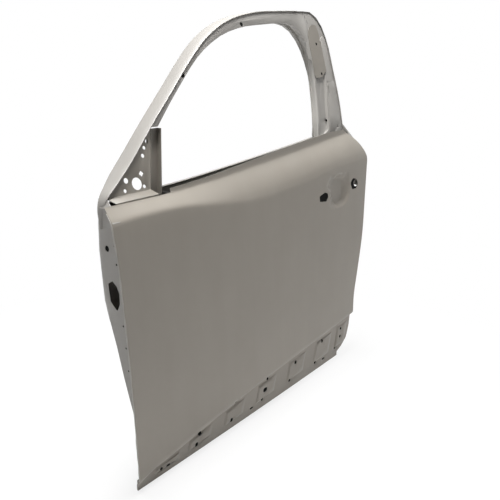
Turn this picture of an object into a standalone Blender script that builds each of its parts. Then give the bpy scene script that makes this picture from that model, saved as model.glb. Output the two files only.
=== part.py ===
"""Front door shell of a tall car, pressed and welded from steel sheet.

The origin is on the face that the upper hinge bolts to. +X runs to the rear of the car, +Y into the
cabin and +Z up, so the outer panel faces along -Y. Inside the script, every size is first measured
from the lower front corner of the outer panel.
"""

import math

import bmesh
import bpy
import numpy as np
from mathutils import Vector
from mathutils.geometry import delaunay_2d_cdt

# Whole door
LENGTH = 1.070
BELT_HEIGHT = 0.712
FRAME_HEIGHT = 0.449
DEPTH = 0.105
TUMBLEHOME_DEG = 15.1

# Sheets and fits
SKIN_GAUGE = 0.0008
PANEL_GAUGE = 0.0009
BRACE_GAUGE = 0.0014
FIT = 0.0003
CUT_OVERRUN = 0.004
WELD = 0.00001

# Outer panel
CROWN = 0.0062
CROWN_HEIGHT = 0.400
PLAN_BOW = 0.012
BOW_START = 0.20
SHOULDER_FRONT = 0.033
SHOULDER_REAR = 0.058
BELT_FLANGE = 0.021
FLANGE_REAR_TAPER = 0.107
FLANGE_REAR_SHARE = 0.6
FLANGE_FRONT_TAPER = 0.535
FLANGE_FRONT_SHARE = 0.5
HEM_WIDTH = 0.012
HEM_ROOM = 0.002
HEM_FIT = 0.0009
CLADDING_STEP = 0.012
CLADDING_RUN = 0.011
PAD_RISE = 0.0032
PAD_SLOPE = 0.005
SOFT_CREASE_SHARE = 0.75
SOFT_CREASE_POWER = 1.8
SCOOP_WALL_SHARE = 0.75
SCOOP_DEPTH = 0.019
SCOOP_LENGTH = 0.121
SCOOP_HEIGHT = 0.114
SCOOP_INSET = 0.175
SCOOP_DROP = 0.108
SCOOP_X = LENGTH - SCOOP_INSET
SCOOP_Z = BELT_HEIGHT - SCOOP_DROP

# Window frame
FRAME_FOOT = 0.0598
FRAME_LIP = 0.003
CORNER_RADIUS = 0.013
CORNER_SHARES = ((0.0, 1.0), (0.3, 0.3), (1.0, 0.0))
FRAME_FLAT_SHARE = 0.33
STRIP_FLANGE = 0.010
LEDGE = 0.008
RETURN_FLANGE = 0.011

REAR_DRAFT = 0.004
FRAME_DRAFT = 0.002
STRIP_HOLE = 0.009
WALL_ROOM = 0.0015
SEAM_GAP = 0.0005
PILLAR_OVERLAP = 0.010
CHANNEL_LIP = 0.008
CHANNEL_SLOPE = 0.006
CHANNEL_DEPTH = 0.006
PILLAR_HOLE = 0.006
PLATE_MARGIN = 0.004
SLOT_WIDTH = 0.006
SLOT_LENGTH = 0.028
RUN_DEPTH = 0.0075
RUN_WIDTH = 0.016

# Mirror corner and belt
SAIL_RECESS = 0.006
SAIL_FOOT = 0.010
SAIL_MARGIN = 0.020
SAIL_DROP = 0.006
SAIL_CORNER = 0.006
SAIL_TURN = 0.002
BELT_SILL = 0.004

# Hinge wall
HARNESS_CORNER = 0.004
HINGE_FACE_X = 0.014
HINGE_HOLE = 0.015
UPPER_HINGE_Z = 0.650
UPPER_HINGE_Y = 0.050
BOLT_HOLE_Z = 0.611
BOLT_HOLE_Y = 0.063
UPPER_PLATE_DROP = 0.027
UPPER_PLATE_RISE = 0.072
UPPER_PLATE_SPAN = (BOLT_HOLE_Z - UPPER_PLATE_DROP, BOLT_HOLE_Z + UPPER_PLATE_RISE)
UPPER_PLATE_DEPTHS = (0.042, 0.079)
LOWER_PLATE_SPAN = (0.315, 0.390)
LOWER_PLATE_DEPTHS = (0.034, 0.051)
HINGE_PLATE_FLANGE = 0.022
PLATE_BOLT_HOLE = 0.012
NUT_WIDTH = 0.020
NUT_BORE = 0.009
NUT_HEIGHT = 0.008
DRAIN_HOLE = 0.006

# Door beam
BEAM_DIAMETER = 0.030
BEAM_WALL = 0.0025
BEAM_STANDOFF = 0.012
BEAM_FRONT_Z = 0.440
BEAM_REAR_Z = 0.330
SADDLE_LENGTH = 0.085
SADDLE_FLANGE = 0.016
MASTIC_WIDTH = 0.022
MASTIC_LENGTH = 0.060
MASTIC_SHARES = (0.2, 0.5, 0.8)

# Glass channels
POST_X = 0.1565
POST_WIDTH = 0.034
POST_DEPTH = 0.017
POST_FOOT_Z = 0.560
POST_TOP_Z = 0.857
POST_ROOM = 0.012
POST_LEAN_DEG = 17.7
GLASS_DEPTH = 0.074
REAR_CHANNEL_INSET = 0.202
REAR_CHANNEL_X = LENGTH - REAR_CHANNEL_INSET
REAR_CHANNEL_WIDTH = 0.018
REAR_CHANNEL_DEPTH = 0.014
REAR_CHANNEL_DROP = 0.110
REAR_CHANNEL_RISE = 0.033
REAR_CHANNEL_FOOT_Z = BELT_HEIGHT - REAR_CHANNEL_DROP
REAR_CHANNEL_TOP_Z = BELT_HEIGHT + REAR_CHANNEL_RISE

# Belt reinforcements
BELT_BRACE_DROP = 0.062
BELT_BEAD = 0.007
BELT_BRACE_POINTS = 14
BEAD_SHARES = (0.15, 0.27, 0.55, 0.67)

# Brackets and handle
BRACKET_FOOT = 0.014
BRACKET_HEIGHT = 0.045
HANDLE_PLATE_FRONT = 0.150
HANDLE_PLATE_REAR = 0.121
HANDLE_PLATE_DROP = 0.070
HANDLE_PLATE_RISE = 0.056
HANDLE_PLATE_REACH = (SCOOP_X - HANDLE_PLATE_FRONT, SCOOP_X + HANDLE_PLATE_REAR)
HANDLE_PLATE_SPAN = (SCOOP_Z - HANDLE_PLATE_DROP, SCOOP_Z + HANDLE_PLATE_RISE)
HANDLE_ROOM = 0.010
LOCK_WIDTH = 0.024
LOCK_HEIGHT = 0.030
LOCK_ROOM = 0.005
ARM_HOLE_CORNER = 0.004
# Centre of the lock's hole and corners of the arm's hole, from the scoop's centre
LOCK_OFFSET = (0.103, 0.003)
ARM_HOLE_OFFSETS = ((-0.103, -0.012), (-0.069, -0.030), (-0.062, -0.004), (-0.077, 0.016))

# Latch wall
LATCH_Z = 0.560
LATCH_HEIGHT = 0.070
LATCH_WIDTH = 0.034
LATCH_SCREW_HOLE = 0.007
LATCH_CORNER = 0.006
LATCH_DEPTH = 0.055
LATCH_PLATE_HEIGHT = 0.140
LATCH_PLATE_DEPTHS = (0.026, 0.081)
LATCH_SCREW_ROOM = 0.006

# Inboard openings
SPEAKER_DIAMETER = 0.165
SPEAKER_X = 0.235
SPEAKER_Z = 0.205
CARRIER_RECESS = 0.006
CARRIER_MARGIN = 0.020
CARRIER_SLOPE = 0.006
CARRIER_CORNER = 0.030

# Places as (share of LENGTH, share of BELT_HEIGHT), front to rear
CREASE_SHARES = ((0.0, 0.954), (0.09, 0.960), (0.19, 0.955), (0.30, 0.933), (0.43, 0.909),
                 (0.56, 0.911), (0.68, 0.921), (0.80, 0.942), (1.0, 0.955))
CLADDING_SHARES = ((0.0, 0.054), (0.10, 0.073), (0.22, 0.102), (0.43, 0.143), (0.60, 0.168),
                   (0.75, 0.188), (0.93, 0.212))
BELT_SHARES = ((0.0, 1.0), (0.20, 1.001), (0.29, 1.008), (0.47, 1.028), (0.69, 1.056),
               (0.82, 1.074), (0.93, 1.090))
BOTTOM_SHARES = ((0.0, 0.0), (0.85, 0.016))

# Edges of the outer panel: front as (height, place), rear as (place, height)
FRONT_EDGE_SHARES = ((0.0, 0.0), (0.60, 0.0), (0.85, -0.003), (0.95, -0.0065), (1.0, -0.004))
REAR_CORNER_SHARES = ((0.842, 0.016), (0.842, 0.036), (0.868, 0.050), (0.898, 0.082),
                      (0.913, 0.136))
REAR_EDGE_SHARES = ((0.913, 0.136), (0.9205, 0.20), (0.924, 0.30), (0.943, 0.42), (0.970, 0.59),
                    (0.987, 0.80), (0.997, 0.92), (1.0, 0.968), (0.987, 1.011), (0.966, 1.052),
                    (0.930, 1.092))
REAR_TURN = 5
CREASE_SPAN_SHARES = (0.03, 0.97)
CREASE_STATIONS = 21
CLADDING_SPAN_SHARES = (0.012, 0.915)
CLADDING_STATIONS = 30
SHOULDER_ROW_SHARES = (0.35, 0.7)
BODY_ROW_SHARES = (0.28, 0.42, 0.56, 0.70, 0.84)
SCOOP_RING_SHARES = (1.0, 0.85, 0.70, 0.55, 0.40, 0.25)
SCOOP_SIDES = 20
BELT_START_SHARE = 0.200
BELT_END_SHARE = 0.918

# Window frame as (share of LENGTH, share of FRAME_HEIGHT above the belt)
FRAME_FRONT_SHARES = ((0.0252, 0.020), (0.1065, 0.174), (0.186, 0.3385), (0.290, 0.545),
                      (0.360, 0.684), (0.428, 0.800), (0.516, 0.900), (0.624, 0.962),
                      (0.761, 0.989), (0.870, 1.0))
FRAME_REAR_SHARES = ((0.870, 1.0), (0.916, 0.990), (0.944, 0.930), (0.962, 0.810), (0.964, 0.60),
                     (0.963, 0.43), (0.959, 0.32), (0.950, 0.20))
WINDOW_FRONT_SHARES = ((0.208, 0.335), (0.262, 0.452), (0.307, 0.543), (0.352, 0.632),
                       (0.397, 0.710), (0.441, 0.768), (0.485, 0.815), (0.569, 0.869),
                       (0.679, 0.898), (0.7486, 0.912))
WINDOW_REAR_SHARES = ((0.7486, 0.912), (0.800, 0.902), (0.8346, 0.851), (0.854, 0.770),
                      (0.8605, 0.680), (0.857, 0.52), (0.846, 0.39), (0.833, 0.27),
                      (0.815, 0.165))
PILLAR_SEAM_SHARES = ((0.884, 0.905), (0.873, 0.804), (0.872, 0.735))
PILLAR_RIB_SHARES = ((0.924, 0.905), (0.926, 0.808), (0.928, 0.62), (0.917, 0.523), (0.899, 0.383),
                     (0.886, 0.278), (0.872, 0.160))

# Hinge wall, belt to sill: height, flat depth, inboard corner's place and height
HINGE_WALL_SHARES = ((0.985, 0.72, 0.0250, 0.985), (0.954, 0.77, 0.0215, 0.954),
                     (0.93, 0.80, 0.0190, 0.93),
                     (0.845, 0.83, 0.0145, 0.845), (0.75, 0.83, 0.0145, 0.75),
                     (0.67, 0.81, 0.0150, 0.67), (0.597, 0.75, 0.0215, 0.597),
                     (0.518, 0.61, 0.0340, 0.518), (0.418, 0.47, 0.0480, 0.418),
                     (0.334, 0.33, 0.0600, 0.334), (0.265, 0.20, 0.0740, 0.270),
                     (0.180, 0.20, 0.0930, 0.205), (0.110, 0.22, 0.1090, 0.165),
                     (0.054, 0.25, 0.1180, 0.152), (0.0463, 0.26, 0.1200, 0.149),
                     (0.0385, 0.27, 0.1210, 0.146))

# Holes of the outer panel's cladding band: place, height, and width and height in CLIP_HOLEs
CLIP_HOLE = 0.008
CLADDING_HOLE_SHARES = ((0.070, 0.030, 0.75, 0.75), (0.092, 0.027, 1.1, 0.5),
                        (0.188, 0.036, 0.6, 0.6), (0.202, 0.071, 1.0, 1.0),
                        (0.319, 0.044, 0.6, 0.6), (0.340, 0.112, 0.9, 0.9),
                        (0.404, 0.034, 1.25, 0.5), (0.450, 0.044, 0.6, 0.6),
                        (0.461, 0.083, 1.5, 1.1), (0.476, 0.124, 0.75, 0.75),
                        (0.580, 0.048, 0.6, 0.6), (0.607, 0.122, 1.0, 1.0),
                        (0.715, 0.053, 0.6, 0.6), (0.762, 0.044, 1.25, 0.5),
                        (0.750, 0.144, 0.9, 0.9), (0.830, 0.062, 0.75, 0.75),
                        (0.857, 0.110, 0.9, 0.9), (0.860, 0.150, 0.9, 0.9))

# Embossed pads of that band: front edge and rear edge at the pad's foot, as shares of LENGTH
PAD_SHARES = ((0.045, 0.130), (0.158, 0.240), (0.288, 0.368), (0.420, 0.505), (0.562, 0.648),
              (0.700, 0.790), (0.822, 0.885))
PAD_LEAN_DEG = 16.0
PAD_FOOT_SHARE = 0.26
PAD_HEAD_SHARE = 0.90

# Foot of the inner panel: span of its sill and the cabin corner's place and height there
SILL_STATIONS = 13
SILL_SPAN_SHARES = (0.055, 0.800)
SILL_PLACE_SHARES = ((0.0, 0.132), (0.055, 0.150), (0.20, 0.235), (0.45, 0.46), (0.80, 0.79))
SILL_HEIGHT_SHARES = ((0.0, 0.128), (0.055, 0.110), (0.20, 0.080), (0.45, 0.075), (0.80, 0.095))
SILL_FLAT_SHARES = ((0.0, 0.28), (0.055, 0.28), (0.25, 0.42), (0.80, 0.45))
REAR_FLAT_SHARE = 0.80
REAR_TOP_SHARE = 1.055

# Harness opening and drain holes of the hinge wall, as shares of DEPTH and BELT_HEIGHT
HARNESS_SHARES = ((0.685, 0.739), (0.533, 0.752), (0.390, 0.737), (0.324, 0.715), (0.343, 0.678),
                  (0.448, 0.652), (0.514, 0.656), (0.667, 0.677), (0.686, 0.713))
DRAIN_SHARES = ((0.352, 0.973), (0.343, 0.925), (0.333, 0.872), (0.324, 0.812), (0.229, 0.760),
                (0.170, 0.708), (0.200, 0.654), (0.300, 0.604), (0.280, 0.527), (0.270, 0.445),
                (0.150, 0.379))

# Cabin face
LEDGE_SHARES = ((0.0, 1.0), (0.25, 1.0), (0.45, -0.25), (0.62, -0.5), (0.75, -2.5), (0.85, -4.0),
                (1.0, -3.3))
CARRIER_SHARES = ((0.370, 0.330), (0.480, 0.215), (0.800, 0.260), (0.860, 0.520), (0.820, 0.800),
                  (0.420, 0.800))
TRIM_HOLE = 0.009
CABIN_HOLE_SHARES = ((0.085, 0.870, 1), (0.075, 0.640, 3.3), (0.110, 0.420, 1), (0.180, 0.130, 1),
                     (0.330, 0.130, 1), (0.500, 0.130, 1), (0.700, 0.135, 1), (0.860, 0.190, 1),
                     (0.900, 0.400, 1), (0.925, 0.765, 4.2), (0.930, 0.860, 1),
                     (0.300, 0.740, 2.7), (0.240, 0.560, 1.3))
STRIP_HOLE_SHARES = ((0.322, 0.594), (0.5776, 0.891))
STRIP_TAIL_SHARE = 0.95
PILLAR_HOLE_SHARES = ((0.9056, 0.777), (0.900, 0.570), (0.875, 0.241))
PILLAR_PLATE_TOP_SHARE = 0.543
PILLAR_SLOT_SHARES = (0.9165, 0.449)
PLATE_HOLE_SHARES = ((0.9196, 0.5056), (0.9215, 0.190))
BELT_BRACE_END_SHARES = (0.900, 0.827)

FRONT_BEND_SHARES = (0.040, 0.043)
BEND_SHARES = (0.212, 0.930)

# Holes of the mirror plate: place, height above the belt, width in STUD_HOLEs and sides
STUD_HOLE = 0.009
SAIL_HOLE_SHARES = ((0.1699, 0.2657, 1.0, 8), (0.1585, 0.2353, 1.0, 8), (0.1493, 0.1966, 1.1, 8),
                    (0.1329, 0.1095, 1.55, 4), (0.0883, 0.0885, 1.45, 10),
                    (0.1148, 0.0640, 3.2, 16), (0.1330, 0.0440, 1.0, 8), (0.0795, 0.0400, 1.0, 8))

STEEL = ("primed_steel", (0.225, 0.212, 0.190, 1.0), 0.38, 0.0)
BRACE_STEEL = ("primed_brace_steel", (0.200, 0.190, 0.170, 1.0), 0.45, 0.0)
MASTIC = ("mastic", (0.030, 0.030, 0.032, 1.0), 0.80, 0.0)
ZINC = ("zinc_plated_steel", (0.52, 0.52, 0.50, 1.0), 0.35, 0.9)

ORIGIN = (HINGE_FACE_X, UPPER_HINGE_Y, UPPER_HINGE_Z)
TUMBLE = math.tan(math.radians(TUMBLEHOME_DEG))
SLANT = 1 / math.cos(math.radians(TUMBLEHOME_DEG))
HEM_THICKNESS = 2 * SKIN_GAUGE + PANEL_GAUGE + 2 * HEM_FIT


# Lines and outlines

def follow(table, at, scale_in=1, scale_out=1):
    """Value of a smooth line through (place, value) shares, at one place or at many."""
    places = np.array([row[0] for row in table]) * scale_in
    values = np.array([row[1] for row in table]) * scale_out
    slopes = np.gradient(values, places)
    inside = np.clip(at, places[0], places[-1])
    span = np.clip(np.searchsorted(places, inside) - 1, 0, len(places) - 2)
    width = places[span + 1] - places[span]
    t = (inside - places[span]) / width
    rise = values[span + 1] - values[span]
    bend = slopes[span] * width - rise
    unbend = rise - slopes[span + 1] * width
    return values[span] + t * rise + t * (1 - t) * ((1 - t) * bend + t * unbend)


def smooth_path(corners, count):
    """Points spread evenly along a smooth line through the corners."""
    corners = np.asarray(corners, float)
    steps = np.linalg.norm(np.diff(corners, axis=0), axis=1)
    run = np.concatenate([[0], np.cumsum(steps)])
    at = np.linspace(0, run[-1], count)
    columns = [follow(list(zip(run, column)), at) for column in corners.T]
    return np.column_stack(columns)


def body_points(shares):
    return np.array(shares) * (LENGTH, BELT_HEIGHT)


def beside_scoop(offsets):
    return np.array(offsets) + (SCOOP_X, SCOOP_Z)


def frame_points(shares):
    return np.array(shares) * (LENGTH, FRAME_HEIGHT) + (0, BELT_HEIGHT)


def beside(path, distance):
    """The path moved sideways: to its left for a positive distance."""
    path = np.asarray(path, float)
    ahead = np.diff(path, axis=0)
    ahead /= np.linalg.norm(ahead, axis=1)[:, None]
    before = np.vstack([ahead[:1], ahead])
    after = np.vstack([ahead, ahead[-1:]])
    along = before + after
    along /= np.linalg.norm(along, axis=1)[:, None]
    left = np.column_stack([-along[:, 1], along[:, 0]])
    mitre = np.clip((along * before).sum(axis=1), 0.5, 1)
    return path + left * (distance / mitre)[:, None]


def beside_loop(loop, distance):
    """A closed loop moved to its left."""
    return beside(np.vstack([loop[-1:], loop, loop[:1]]), distance)[1:-1]


def circle(centre, width, height=None, sides=10):
    height = width if height is None else height
    turn = np.arange(sides) / sides * math.tau
    return np.column_stack([centre[0] + np.cos(turn) * width / 2,
                            centre[1] + np.sin(turn) * height / 2])


def rounded(corners, radius, steps=3):
    """A closed outline with an arc of this radius at each corner."""
    corners = [np.asarray(corner, float) for corner in corners]
    outline = []
    for index, corner in enumerate(corners):
        to_last = corners[index - 1] - corner
        to_next = corners[(index + 1) % len(corners)] - corner
        reach = min(np.linalg.norm(to_last), np.linalg.norm(to_next)) / 2
        to_last /= np.linalg.norm(to_last)
        to_next /= np.linalg.norm(to_next)
        half = math.acos(np.clip(to_last @ to_next, -1, 1)) / 2
        back = min(radius / math.tan(half), reach)
        centre_way = to_last + to_next
        centre = corner + centre_way / np.linalg.norm(centre_way) * back / math.cos(half)
        start = corner + to_last * back - centre
        end = corner + to_next * back - centre
        for step in range(steps + 1):
            blend = step / steps
            arm = start * (1 - blend) + end * blend
            outline.append(centre + arm / np.linalg.norm(arm) * np.linalg.norm(start))
    return np.array(outline)


def inside(points, outline):
    """Which points lie in a closed outline, by the crossings of a line to their right."""
    points = np.atleast_2d(points)
    found = np.zeros(len(points), bool)
    for (ax, az), (bx, bz) in zip(outline, np.roll(outline, -1, axis=0)):
        spans = (az > points[:, 1]) != (bz > points[:, 1])
        rise = bz - az if bz != az else WELD
        crossing = ax + (points[:, 1] - az) / rise * (bx - ax)
        found ^= spans & (points[:, 0] < crossing)
    return found


# Surfaces, as depth from the outermost plane at a place and a height

def ease(t):
    t = np.clip(t, 0, 1)
    return t * t * (3 - 2 * t)


def crease_z(x):
    return follow(CREASE_SHARES, x, LENGTH, BELT_HEIGHT)


def cladding_z(x):
    return follow(CLADDING_SHARES, x, LENGTH, BELT_HEIGHT)


def belt_z(x):
    return follow(BELT_SHARES, x, LENGTH, BELT_HEIGHT)


def bottom_z(x):
    return follow(BOTTOM_SHARES, x, LENGTH, BELT_HEIGHT)


def front_x(z):
    return follow(FRONT_EDGE_SHARES, z, BELT_HEIGHT, LENGTH)


def pad_outline(foot_shares, inset=0.0):
    front, rear = (share * LENGTH for share in foot_shares)
    low = [bottom_z(x) + (cladding_z(x) - bottom_z(x)) * PAD_FOOT_SHARE for x in (front, rear)]
    high = [bottom_z(x) + (cladding_z(x) - CLADDING_RUN - bottom_z(x)) * PAD_HEAD_SHARE
            for x in (front, rear)]
    slope = math.tan(math.radians(PAD_LEAN_DEG))
    lean = [slope * (top - foot) for top, foot in zip(high, low)]
    corners = np.array([(front, low[0]), (rear, low[1]), (rear + lean[1], high[1]),
                        (front + lean[0], high[0])])
    ahead = np.roll(corners, -1, axis=0) - corners
    ahead /= np.linalg.norm(ahead, axis=1)[:, None]
    normals = np.column_stack([-ahead[:, 1], ahead[:, 0]])
    moved = []
    for index in range(len(corners)):
        a, b = normals[index - 1], normals[index]
        moved.append(corners[index] + (a + b) * inset / (1 + a @ b))
    return np.array(moved)


def pad_rise(x, z):
    """Height of the embossed pads, from how far inside its nearest edge a point lies."""
    rise = np.zeros(np.broadcast(x, z).shape)
    for shares in PAD_SHARES:
        corners = pad_outline(shares)
        ahead = np.roll(corners, -1, axis=0) - corners
        ahead /= np.linalg.norm(ahead, axis=1)[:, None]
        depths = [(z - cz) * ax - (x - cx) * az for (cx, cz), (ax, az) in zip(corners, ahead)]
        rise = np.maximum(rise, np.clip(np.min(depths, axis=0) / PAD_SLOPE, 0, 1) * PAD_RISE)
    return rise


def belt_depth(x):
    return SHOULDER_FRONT + (SHOULDER_REAR - SHOULDER_FRONT) * x / LENGTH


def plain_skin(x, z):
    """Depth of the outer panel's painted face without its pads and scoop."""
    x, z = np.asarray(x, float), np.asarray(z, float)
    crown = CROWN * ((z - CROWN_HEIGHT) / CROWN_HEIGHT) ** 2
    bow = PLAN_BOW * (np.clip(x - BOW_START, 0, None) / (LENGTH - BOW_START)) ** 2
    base = crown + bow
    crease, belt = crease_z(x), belt_z(x)
    s = np.clip((z - crease) / (belt - crease), 0, 1)
    soft = ease(x / (LENGTH * SOFT_CREASE_SHARE))
    shoulder = s * (1 - soft) + s ** SOFT_CREASE_POWER * soft
    step = CLADDING_STEP * ease((cladding_z(x) - z) / CLADDING_RUN)
    return base + (belt_depth(x) - base) * shoulder + step


def skin(x, z):
    """Depth of the outer panel's painted face."""
    reach = np.hypot((x - SCOOP_X) / (SCOOP_LENGTH / 2), (z - SCOOP_Z) / (SCOOP_HEIGHT / 2))
    scoop = SCOOP_DEPTH * ease((1 - reach) / SCOOP_WALL_SHARE)
    return plain_skin(x, z) + scoop - pad_rise(x, z)


def slant(x, z):
    """Depth that a unit of sheet thickness takes up here, by the steepest slope nearby."""
    near = CLADDING_RUN / 2
    here = plain_skin(x, z)
    across = [np.abs(plain_skin(x + step, z) - here) / near for step in (near, -near)]
    up = [np.abs(plain_skin(x, z + step) - here) / near for step in (near, -near)]
    return np.sqrt(1 + np.max(across, axis=0) ** 2 + np.max(up, axis=0) ** 2)


def behind_skin(x, z, distance):
    """Depth of a face that keeps this distance to the outer panel."""
    return plain_skin(x, z) + distance * slant(x, z)


def frame_face(z):
    """Depth of the window frame's outboard strip, which leans in above the belt."""
    return FRAME_FOOT + TUMBLE * (np.asarray(z, float) - BELT_HEIGHT)


def cabin_face(z):
    """Depth of the inner panel's cabin side."""
    return DEPTH + TUMBLE * np.clip(np.asarray(z, float) - BELT_HEIGHT, 0, None)


# Solids

def material(finish):
    name, colour, roughness, metallic = finish
    found = bpy.data.materials.get(name)
    if found:
        return found
    made = bpy.data.materials.new(name)
    made.use_nodes = True
    made.diffuse_color = colour
    shader = made.node_tree.nodes["Principled BSDF"]
    shader.inputs["Base Color"].default_value = colour
    shader.inputs["Roughness"].default_value = roughness
    shader.inputs["Metallic"].default_value = metallic
    return made


def add_object(name, mesh_data, finish):
    mesh = bpy.data.meshes.new(name)
    mesh_data.to_mesh(mesh)
    mesh_data.free()
    made = bpy.data.objects.new(name, mesh)
    bpy.context.scene.collection.objects.link(made)
    made.parent = bpy.data.objects["door_datum"]
    mesh.materials.append(material(finish))
    mesh.shade_smooth()
    mesh.set_sharp_from_angle(angle=math.radians(32))
    return made


def lay_sheet(surface, outline, depth, holes=(), folds=(), spots=()):
    """Adds a triangulated sheet. The depth function lifts the flat layout into its form."""
    points, edges = [], []
    for path, closed in ([(outline, True)] + [(hole, True) for hole in holes] + list(folds)):
        first = len(points)
        points += [Vector(point) for point in path]
        edges += [(first + i, first + i + 1) for i in range(len(path) - 1)]
        if closed:
            edges.append((len(points) - 1, first))
    points += [Vector(point) for point in spots]
    found, _, faces = delaunay_2d_cdt(points, edges, [], 0, WELD)[:3]
    flat = np.array([tuple(point) for point in found])
    faces = np.array([tuple(face) for face in faces])
    corners = flat[faces]
    centres = corners.mean(axis=1)
    across, up = corners[:, 1] - corners[:, 0], corners[:, 2] - corners[:, 0]
    wide = np.abs(across[:, 0] * up[:, 1] - across[:, 1] * up[:, 0]) > WELD * WELD
    keep = inside(centres, outline) & wide
    for hole in holes:
        keep &= ~inside(centres, hole)
    depths = depth(flat[:, 0], flat[:, 1])
    vertices = [surface.verts.new((x, y, z)) for (x, z), y in zip(flat, depths)]
    for face in faces[keep]:
        surface.faces.new([vertices[i] for i in face])
    loose = [vertex for vertex in surface.verts if not vertex.link_faces]
    bmesh.ops.delete(surface, geom=loose, context="VERTS")


def lay_strips(surface, rings, closed=False):
    """Adds the faces between rings of points that match one to one."""
    rows = [[surface.verts.new(tuple(point)) for point in ring] for ring in rings]
    count = len(rows[0]) if closed else len(rows[0]) - 1
    for near, far in zip(rows, rows[1:]):
        for i in range(count):
            j = (i + 1) % len(near)
            surface.faces.new((near[i], near[j], far[j], far[i]))


def ring_at(path, depth):
    """Points of a path at the depth that a number or an array gives."""
    path = np.asarray(path, float)
    return np.column_stack([path[:, 0], np.broadcast_to(depth, len(path)), path[:, 1]])


def finish_sheet(name, surface, gauge, finish, facing):
    """Welds the surface and gives it its thickness. Its first face is turned towards facing."""
    bmesh.ops.remove_doubles(surface, verts=surface.verts, dist=WELD)
    bmesh.ops.recalc_face_normals(surface, faces=surface.faces)
    surface.faces.ensure_lookup_table()
    if surface.faces[0].normal.dot(facing) < 0:
        bmesh.ops.reverse_faces(surface, faces=surface.faces)
    made = add_object(name, surface, finish)
    wall = made.modifiers.new("gauge", "SOLIDIFY")
    wall.thickness = gauge
    wall.offset = -1
    wall.use_even_offset = True
    return made


def pressing(name, outline, depth, gauge, finish, holes=(), folds=(), spots=(), inboard=False):
    surface = bmesh.new()
    lay_sheet(surface, outline, depth, holes, folds, spots)
    return finish_sheet(name, surface, gauge, finish, Vector((0, 1 if inboard else -1, 0)))


def prism(outline, low, high, axis):
    """A closed body between two planes across an axis, from an outline on the other two axes."""
    body = bmesh.new()
    rows = []
    for level in (low, high):
        rows.append([])
        for u, v in outline:
            place = {"X": (level, u, v), "Y": (u, level, v), "Z": (u, v, level)}[axis]
            rows[-1].append(body.verts.new(place))
    body.faces.new(rows[0])
    body.faces.new(rows[1])
    for i in range(len(outline)):
        j = (i + 1) % len(outline)
        body.faces.new((rows[0][i], rows[0][j], rows[1][j], rows[1][i]))
    bmesh.ops.recalc_face_normals(body, faces=body.faces)
    return body


def cut(target, name, body):
    """Takes a body out of the target."""
    cutter = add_object(name, body, BRACE_STEEL)
    cutter.hide_render = True
    cutter.display_type = "WIRE"
    boolean = target.modifiers.new(name, "BOOLEAN")
    boolean.operation = "DIFFERENCE"
    boolean.object = cutter
    return cutter


def swept(profile_at, stations):
    """A closed solid through the profiles at the stations, with a cap at each end."""
    body = bmesh.new()
    rows = [[body.verts.new(tuple(point)) for point in profile_at(station)] for station in stations]
    for near, far in zip(rows, rows[1:]):
        for i in range(len(near)):
            j = (i + 1) % len(near)
            body.faces.new((near[i], near[j], far[j], far[i]))
    body.faces.new(rows[0])
    body.faces.new(rows[-1])
    bmesh.ops.recalc_face_normals(body, faces=body.faces)
    return body


# Edges that the pieces share

def hinge_heights():
    return np.array([row[0] for row in HINGE_WALL_SHARES]) * BELT_HEIGHT


def sill_places():
    span = np.linspace(*SILL_SPAN_SHARES, SILL_STATIONS) * LENGTH
    return np.concatenate([[0.0], span])


def skin_rear_edge():
    """The rear edge from its lower notch to the belt, with points where the cladding step crosses it."""
    corner = body_points(REAR_CORNER_SHARES)
    turn = REAR_EDGE_SHARES[REAR_TURN:]
    rising = [(height, place) for place, height in REAR_EDGE_SHARES[:REAR_TURN + 1]]
    step = cladding_z(LENGTH)
    foot = step - CLADDING_RUN
    heights = [(corner[-1, 1] + foot) / 2, foot, (foot + step) / 2]
    heights += list(np.linspace(step, turn[0][1] * BELT_HEIGHT, 9)[:-1])
    places = follow(rising, np.array(heights), BELT_HEIGHT, LENGTH)
    return np.vstack([corner[1:], np.column_stack([places, heights]),
                      smooth_path(body_points(turn), 11)])


def hem_reach(edge):
    """The part of the rear edge that the hem folds over."""
    return edge[edge[:, 1] < REAR_TOP_SHARE * BELT_HEIGHT]


def rim():
    """Stations of the hem: points of the outer panel's edge, with those where the walls start."""
    heights = hinge_heights()
    places = sill_places()
    edge = [np.column_stack([front_x(heights), heights]),
            np.column_stack([places, bottom_z(places)])]
    inset = HEM_WIDTH + HEM_ROOM
    seat = [np.column_stack([np.full(len(heights), HINGE_FACE_X), heights]),
            np.column_stack([np.maximum(places, HINGE_FACE_X), bottom_z(places) + inset])]
    corner = body_points(REAR_CORNER_SHARES[:1])
    rear = np.vstack([edge[1][-1:], corner, hem_reach(skin_rear_edge())])
    edge.append(rear[1:])
    seat.append(beside(rear, inset)[1:])
    edge, seat = np.vstack(edge), np.vstack(seat)
    on_step = np.abs(edge[:, 1] - cladding_z(edge[:, 0]) + CLADDING_RUN / 2) < CLADDING_RUN
    seat[on_step, 1] += (cladding_z(seat[:, 0]) - cladding_z(edge[:, 0]))[on_step]
    return edge, seat


def on_rim(edge, seat, reach, distance):
    """Points some way in from the edge, at a distance behind the outer panel."""
    share = np.clip(reach / np.linalg.norm(seat - edge, axis=1), 0, 1)
    path = edge + (seat - edge) * share[:, None]
    here = plain_skin(*edge.T) * (1 - share) + plain_skin(*seat.T) * share
    return ring_at(path, here + distance * np.maximum(slant(*edge.T), slant(*seat.T)))


def window_edge():
    front = smooth_path(frame_points(WINDOW_FRONT_SHARES), 17)
    rear = smooth_path(frame_points(WINDOW_REAR_SHARES), 14)
    return np.vstack([front, rear[1:]])


def frame_edge():
    front = smooth_path(frame_points(FRAME_FRONT_SHARES), 24)
    rear = smooth_path(frame_points(FRAME_REAR_SHARES), 13)
    return front, rear


# Pieces

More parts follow.
